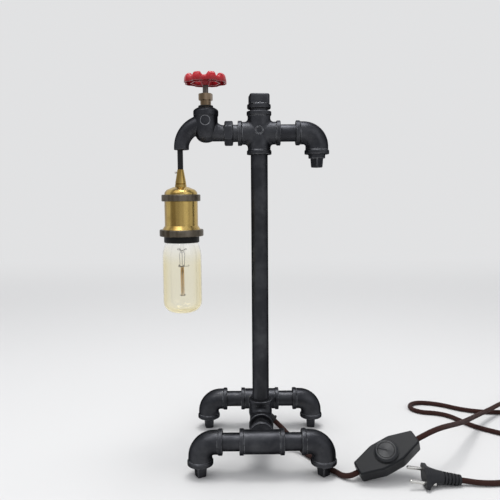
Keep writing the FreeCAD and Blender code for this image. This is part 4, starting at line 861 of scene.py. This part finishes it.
# The height of a cord's middle where it lies on the floor, and the points that the cords bend
# towards: from the lamp to the dimmer, from the dimmer to the coil, and from the coil to the plug.
LOW = 3.4
LAMP_ROUTE = [
    (9.444, 0.0, 45.282), (26.833, 0.0, 29.625), (43, -8, 12.5), (54.5, -20, LOW),
    (63, -34, LOW), (70.5, -47.5, LOW), (78.5, -61.5, LOW), (87.5, -72, LOW), (93, -81.5, LOW),
    (101, -88, 6.0), (108.904, -89.811, 10.524), (116.045, -88.580, 13.915),
]
LONG_ROUTE = [
    (174.955, -78.420, 41.885), (186.559, -76.419, 47.395), (199, -73, 52), (212, -66, 53.5),
    (225, -55, 51.5), (240, -37, 46), (260, -9, 37), (287, 30, 27), (315, 70, 17), (338, 92, 15),
    (366, 117, 15), (387, 135, 11.5), (400, 157, 6.5), (411, 180, LOW), (431, 195, LOW),
    (456, 190, LOW), (468, 167, LOW), (459, 141, LOW), (437, 124, LOW), (413, 113, LOW),
    (387, 108.5, LOW), (362, 110.5, LOW), (330, 113.5, LOW), (304, 126, LOW), (284, 144, LOW),
    (262, 153, LOW), (244.7, 153, LOW), (233, 141.3, LOW), (233, 124.7, LOW), (244.7, 113, LOW),
    (264, 110, LOW), (281, 99, LOW), (291, 79, LOW), (303, 58, LOW), (324, 39, LOW),
    (347, 22, LOW), (366, 6.5, LOW), (385, -6.5, LOW),
]
PLUG_ROUTE = [
    (366, -71, 10.0), (345, -75.5, 9.8), (322, -80.5, 4.2), (299, -90, LOW), (275, -102, LOW),
    (248, -103, 4), (230.587, -100.230, 5.569), (224.639, -100.226, 6.354),
]
# The coil: its middle, the angle where it starts in degrees, and its steps as turns wound so far,
# radius and height. It starts as an outer turn on the floor, moves in beside itself, then climbs
# and ends on top of both.
COIL_X, COIL_Y = 362.0, -36.0
COIL_START = 50.0
COIL_STEPS = np.array([
    (0.0, 38.3, LOW), (0.60, 38.3, LOW), (0.85, 31.7, LOW), (1.45, 31.7, LOW), (1.70, 31.7, 9.8),
    (1.88, 35.0, 9.4), (2.36, 35.0, 9.4),
])


def coil_turns():
    """Points round the coil, clockwise seen from above: the angle falls evenly, and radius and
    height follow the steps, the radius a little larger as a spline runs inside its points."""
    turns, radii, heights = COIL_STEPS.T
    wound = np.linspace(0.0, turns[-1], 39)[1:-1]
    angle = math.radians(COIL_START) - 2 * np.pi * wound
    radius = np.interp(wound, turns, radii) / math.cos(np.pi * wound[0])
    x, y = COIL_X + radius * np.cos(angle), COIL_Y + radius * np.sin(angle)
    return np.stack([x, y, np.interp(wound, turns, heights)], axis=-1)


def gathered(items, name, kind, numbers=1):
    """One property of all a mesh's points, corners or faces."""
    values = np.empty(len(items) * numbers, kind)
    items.foreach_get(name, values)
    return values


def spline_line(name, route):
    """The smooth line of a NURBS spline that bends towards a route's points."""
    points = np.array(route, float)
    curve = bpy.data.curves.new(name, "CURVE")
    curve.dimensions = "3D"
    spline = curve.splines.new("NURBS")
    spline.points.add(len(points) - 1)
    spline.points.foreach_set("co", np.column_stack([points * MM, np.ones(len(points))]).ravel())
    spline.order_u = 3
    spline.use_endpoint_u = True
    spline.resolution_u = 12
    holder = bpy.data.objects.new(name, curve)
    mesh = bpy.data.meshes.new_from_object(holder)
    line = gathered(mesh.vertices, "co", float, 3)
    bpy.data.objects.remove(holder)
    bpy.data.curves.remove(curve)
    bpy.data.meshes.remove(mesh)
    return line.reshape(-1, 3) / MM


def braided(name, line, finish):
    """A braided cord along a line, with U in metres along it and V once round it."""
    columns = 20
    way = np.concatenate([[0.0], np.cumsum(np.linalg.norm(np.diff(line, axis=0), axis=1))])
    made = Mesh()
    made.grid(tube(line, sizes().cord_diameter / MM / 2, columns), capped=True)
    cord = made.piece(name, finish, "stand", "brown_fabric", 60.0)
    mesh = cord.data
    row, column = np.divmod(gathered(mesh.loops, "vertex_index", int), columns)
    # In a face that closes the ring, the first column counts as one past the last.
    starts = gathered(mesh.polygons, "loop_start", int)
    totals = gathered(mesh.polygons, "loop_total", int)
    face = np.repeat(np.arange(len(starts)), totals)
    spread = np.maximum.reduceat(column, starts) - np.minimum.reduceat(column, starts)
    closing = spread > columns // 2
    round_way = np.where(closing[face] & (column == 0), columns, column) / columns
    layer = mesh.uv_layers.new(name="UVMap")
    layer.data.foreach_set("uv", np.column_stack([way[row] * MM, round_way]).ravel())
    return cord


class PIPELAMP_OT_cords(bpy.types.Operator):
    """Lays the braided cord from lamp to dimmer to plug, with its spare length coiled"""

    bl_idname = "pipelamp.cords"
    bl_label = "Cords"

    def execute(self, context):
        finish = braid_finish("Brown braid", colours().cord, colours().cord_light_yarn_and_lit_crowns)
        line = spline_line("lamp_route", LAMP_ROUTE)
        to_dimmer = braided("cord_to_dimmer", line, finish)
        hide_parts("cord_lamp_end")
        line = spline_line("plug_route", [*LONG_ROUTE, *coil_turns(), *PLUG_ROUTE])
        to_plug = braided("cord_to_plug", line, finish)
        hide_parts("cord_long", "cord_coil", "cord_plug_end")
        return {"FINISHED"}


class PIPELAMP_OT_lead(bpy.types.Operator):
    """Finishes the black lead that runs through the pipes and carries the lamp holder"""

    bl_idname = "pipelamp.lead"
    bl_label = "Black lead"

    def execute(self, context):
        black = plastic_finish("Black lead", (0.008, 0.008, 0.009, 1.0), 0.55, 0.4 * MM)
        dress(["lamp_lead", "lead_knuckle", "lead_drop"], black)
        return {"FINISHED"}


class PIPELAMP_OT_dimmer(bpy.types.Operator):
    """Finishes the dimmer's case and knob"""

    bl_idname = "pipelamp.dimmer"
    bl_label = "Dimmer"

    def execute(self, context):
        plastic = plastic_finish("Black plastic", colours().plastic, 0.38, 0.5 * MM)
        dress(["dimmer_base", "dimmer_cover"], plastic)
        dress(["dimmer_knob"], knob_finish())
        board = plastic_finish("Circuit board", (0.03, 0.09, 0.04, 1.0), 0.4, 2 * MM)
        dress(["dimmer_board"], board)
        return {"FINISHED"}


class PIPELAMP_OT_plug(bpy.types.Operator):
    """Finishes the mains plug and its pins"""

    bl_idname = "pipelamp.plug"
    bl_label = "Plug"

    def execute(self, context):
        rubber = plastic_finish("Plug rubber", (0.013, 0.0135, 0.0155, 1.0), 0.46, 0.5 * MM)
        dress(["plug_body"], rubber)
        dress(["plug_pins"], metal_finish("Plug pins", (0.62, 0.61, 0.58, 1.0), 0.22))
        return {"FINISHED"}


# ---- stage


# The floor's front and back edges, the round up to the wall, the wall's top and half of the width.
FLOOR_FRONT, FLOOR_BACK, ROUND, WALL_TOP, HALF_WIDTH = -6.0, 1.6, 1.2, 5.0, 7.0
WALL_GREY = (0.757, 0.760, 0.768, 1.0)
# Behind the lamp, from where and up to where the wall's even grey fades in.
FADE_START, FADE_END = 0.35, 1.9
# The camera's place, its lens in millimetres, and how far it dips and leans in degrees.
CAMERA_SPOT, LENS = (0.00568, -0.72475, 0.32962), 41.27
CAMERA_DIP, CAMERA_LEAN = 5.35, -0.44


def area_light(name, spot, aim, size, power):
    """A soft white light at a spot, turned towards another."""
    lamp = bpy.data.lights.new(name, "AREA")
    lamp.shape = "RECTANGLE"
    lamp.size, lamp.size_y = size
    lamp.energy = power
    made = bpy.data.objects.new(name, lamp)
    made.location = spot
    made.rotation_euler = (Vector(aim) - Vector(spot)).to_track_quat("-Z", "Y").to_euler()
    bpy.context.scene.collection.objects.link(made)


class PIPELAMP_OT_stage(bpy.types.Operator):
    """Makes the pale floor and backdrop, the soft lights, the world and the camera"""

    bl_idname = "pipelamp.stage"
    bl_label = "Stage"

    def execute(self, context):
        scene = context.scene
        scene.view_settings.view_transform = "Standard"
        self.make_sweep()
        area_light("Key", (-0.7, -0.9, 2.0), (0.0, 0.0, 0.22), (1.3, 1.0), 11.5)
        area_light("Fill", (1.5, -1.5, 1.2), (0.0, 0.0, 0.2), (1.2, 1.4), 4.0)
        area_light("Top", (0.1, 0.1, 2.0), (0.0, 0.0, 0.0), (0.8, 1.0), 22.0)
        world = bpy.data.worlds.new("Pale room")
        world.use_nodes = True
        background = world.node_tree.nodes["Background"]
        background.inputs["Color"].default_value = (0.93, 0.95, 1.0, 1.0)
        background.inputs["Strength"].default_value = 0.76
        scene.world = world
        lens = bpy.data.cameras.new("Camera")
        lens.sensor_width, lens.lens = 36.0, LENS
        lens.clip_start, lens.clip_end = 0.01, 50.0
        camera = bpy.data.objects.new("Camera", lens)
        scene.collection.objects.link(camera)
        dip = Matrix.Rotation(math.radians(90.0 - CAMERA_DIP), 4, "X")
        lean = Matrix.Rotation(math.radians(CAMERA_LEAN), 4, "Z")
        camera.matrix_world = Matrix.Translation(CAMERA_SPOT) @ (dip @ lean)
        scene.camera = camera
        return {"FINISHED"}

    def paper_finish(self):
        """Matt paper that fades to an even pale grey behind the lamp's shadow."""
        made, tree, shader = material("Pale paper")
        feed(tree, shader, Base_Color=colours().floor, Roughness=0.85, Specular_IOR_Level=0.2)
        plain = add(tree, "ShaderNodeEmission", {"Color": WALL_GREY, "Strength": 1.0}).outputs[0]
        far = ranged(tree, along_axis(tree, own_space(tree), "Y"), FADE_START, FADE_END)
        path = add(tree, "ShaderNodeLightPath").outputs
        seen = maths(tree, "ADD", path["Is Camera Ray"], path["Is Glossy Ray"])
        seen = maths(tree, "ADD", seen, path["Is Transmission Ray"], clamp=True)
        shaders = {0: maths(tree, "MULTIPLY", far, seen), 1: shader.outputs[0], 2: plain}
        both = add(tree, "ShaderNodeMixShader", shaders).outputs[0]
        fill(tree, tree.nodes["Material Output"], {"Surface": both})
        return made

    def make_sweep(self):
        """A floor that curves up into a wall: a straight run, a quarter round and a rise, carried
        sideways."""
        turn = np.linspace(0.0, math.pi / 2, 24)
        flat = [(FLOOR_FRONT, 0.0), (FLOOR_BACK, 0.0)]
        curved = np.column_stack([FLOOR_BACK + ROUND * np.sin(turn), ROUND - ROUND * np.cos(turn)])
        side = np.vstack([flat, curved[1:], (FLOOR_BACK + ROUND, WALL_TOP)])
        points = np.array([(x, y, z) for x in (-HALF_WIDTH, HALF_WIDTH) for y, z in side])
        count = len(side)
        faces = [(i, i + count, i + count + 1, i + 1) for i in range(count - 1)]
        mesh = bpy.data.meshes.new("Sweep")
        mesh.from_pydata(points.tolist(), [], faces)
        mesh.shade_smooth()
        mesh.materials.append(self.paper_finish())
        sweep = bpy.data.objects.new("Sweep", mesh)
        bpy.context.scene.collection.objects.link(sweep)


# ---- panel and registering


class PIPELAMP_PT_panel(bpy.types.Panel):
    """Sizes, colours and steps of the lamp"""

    bl_idname = "PIPELAMP_PT_panel"
    bl_label = "Pipe lamp"
    bl_space_type = "VIEW_3D"
    bl_region_type = "UI"
    bl_category = "Pipe lamp"

    def draw(self, context):
        for group in (context.scene.pipe_lamp_sizes, context.scene.pipe_lamp_colours):
            box = self.layout.box()
            for name in group.bl_rna.properties.keys():
                if name not in ("rna_type", "name"):
                    box.prop(group, name)
        for step in STEPS:
            self.layout.operator(step.bl_idname)


STEPS = [
    PIPELAMP_OT_fittings,
    PIPELAMP_OT_handwheel,
    PIPELAMP_OT_holder,
    PIPELAMP_OT_bulb,
    PIPELAMP_OT_lead,
    PIPELAMP_OT_cords,
    PIPELAMP_OT_dimmer,
    PIPELAMP_OT_plug,
    PIPELAMP_OT_stage,
]
CLASSES = [PipeLampSizes, PipeLampColours, *STEPS, PIPELAMP_PT_panel]


def register():
    for made in CLASSES:
        bpy.utils.register_class(made)
    bpy.types.Scene.pipe_lamp_sizes = bpy.props.PointerProperty(type=PipeLampSizes)
    bpy.types.Scene.pipe_lamp_colours = bpy.props.PointerProperty(type=PipeLampColours)


def unregister():
    del bpy.types.Scene.pipe_lamp_colours
    del bpy.types.Scene.pipe_lamp_sizes
    for made in reversed(CLASSES):
        bpy.utils.unregister_class(made)


def main():
    """Registers the classes, makes the shared effects and runs the steps in order."""
    register()
    for make in (make_cast_grain, make_edge_wear, make_braid, make_smudges):
        make()
    for step in STEPS:
        group, name = step.bl_idname.split(".")
        getattr(getattr(bpy.ops, group), name)()


if __name__ == "__main__":
    main()
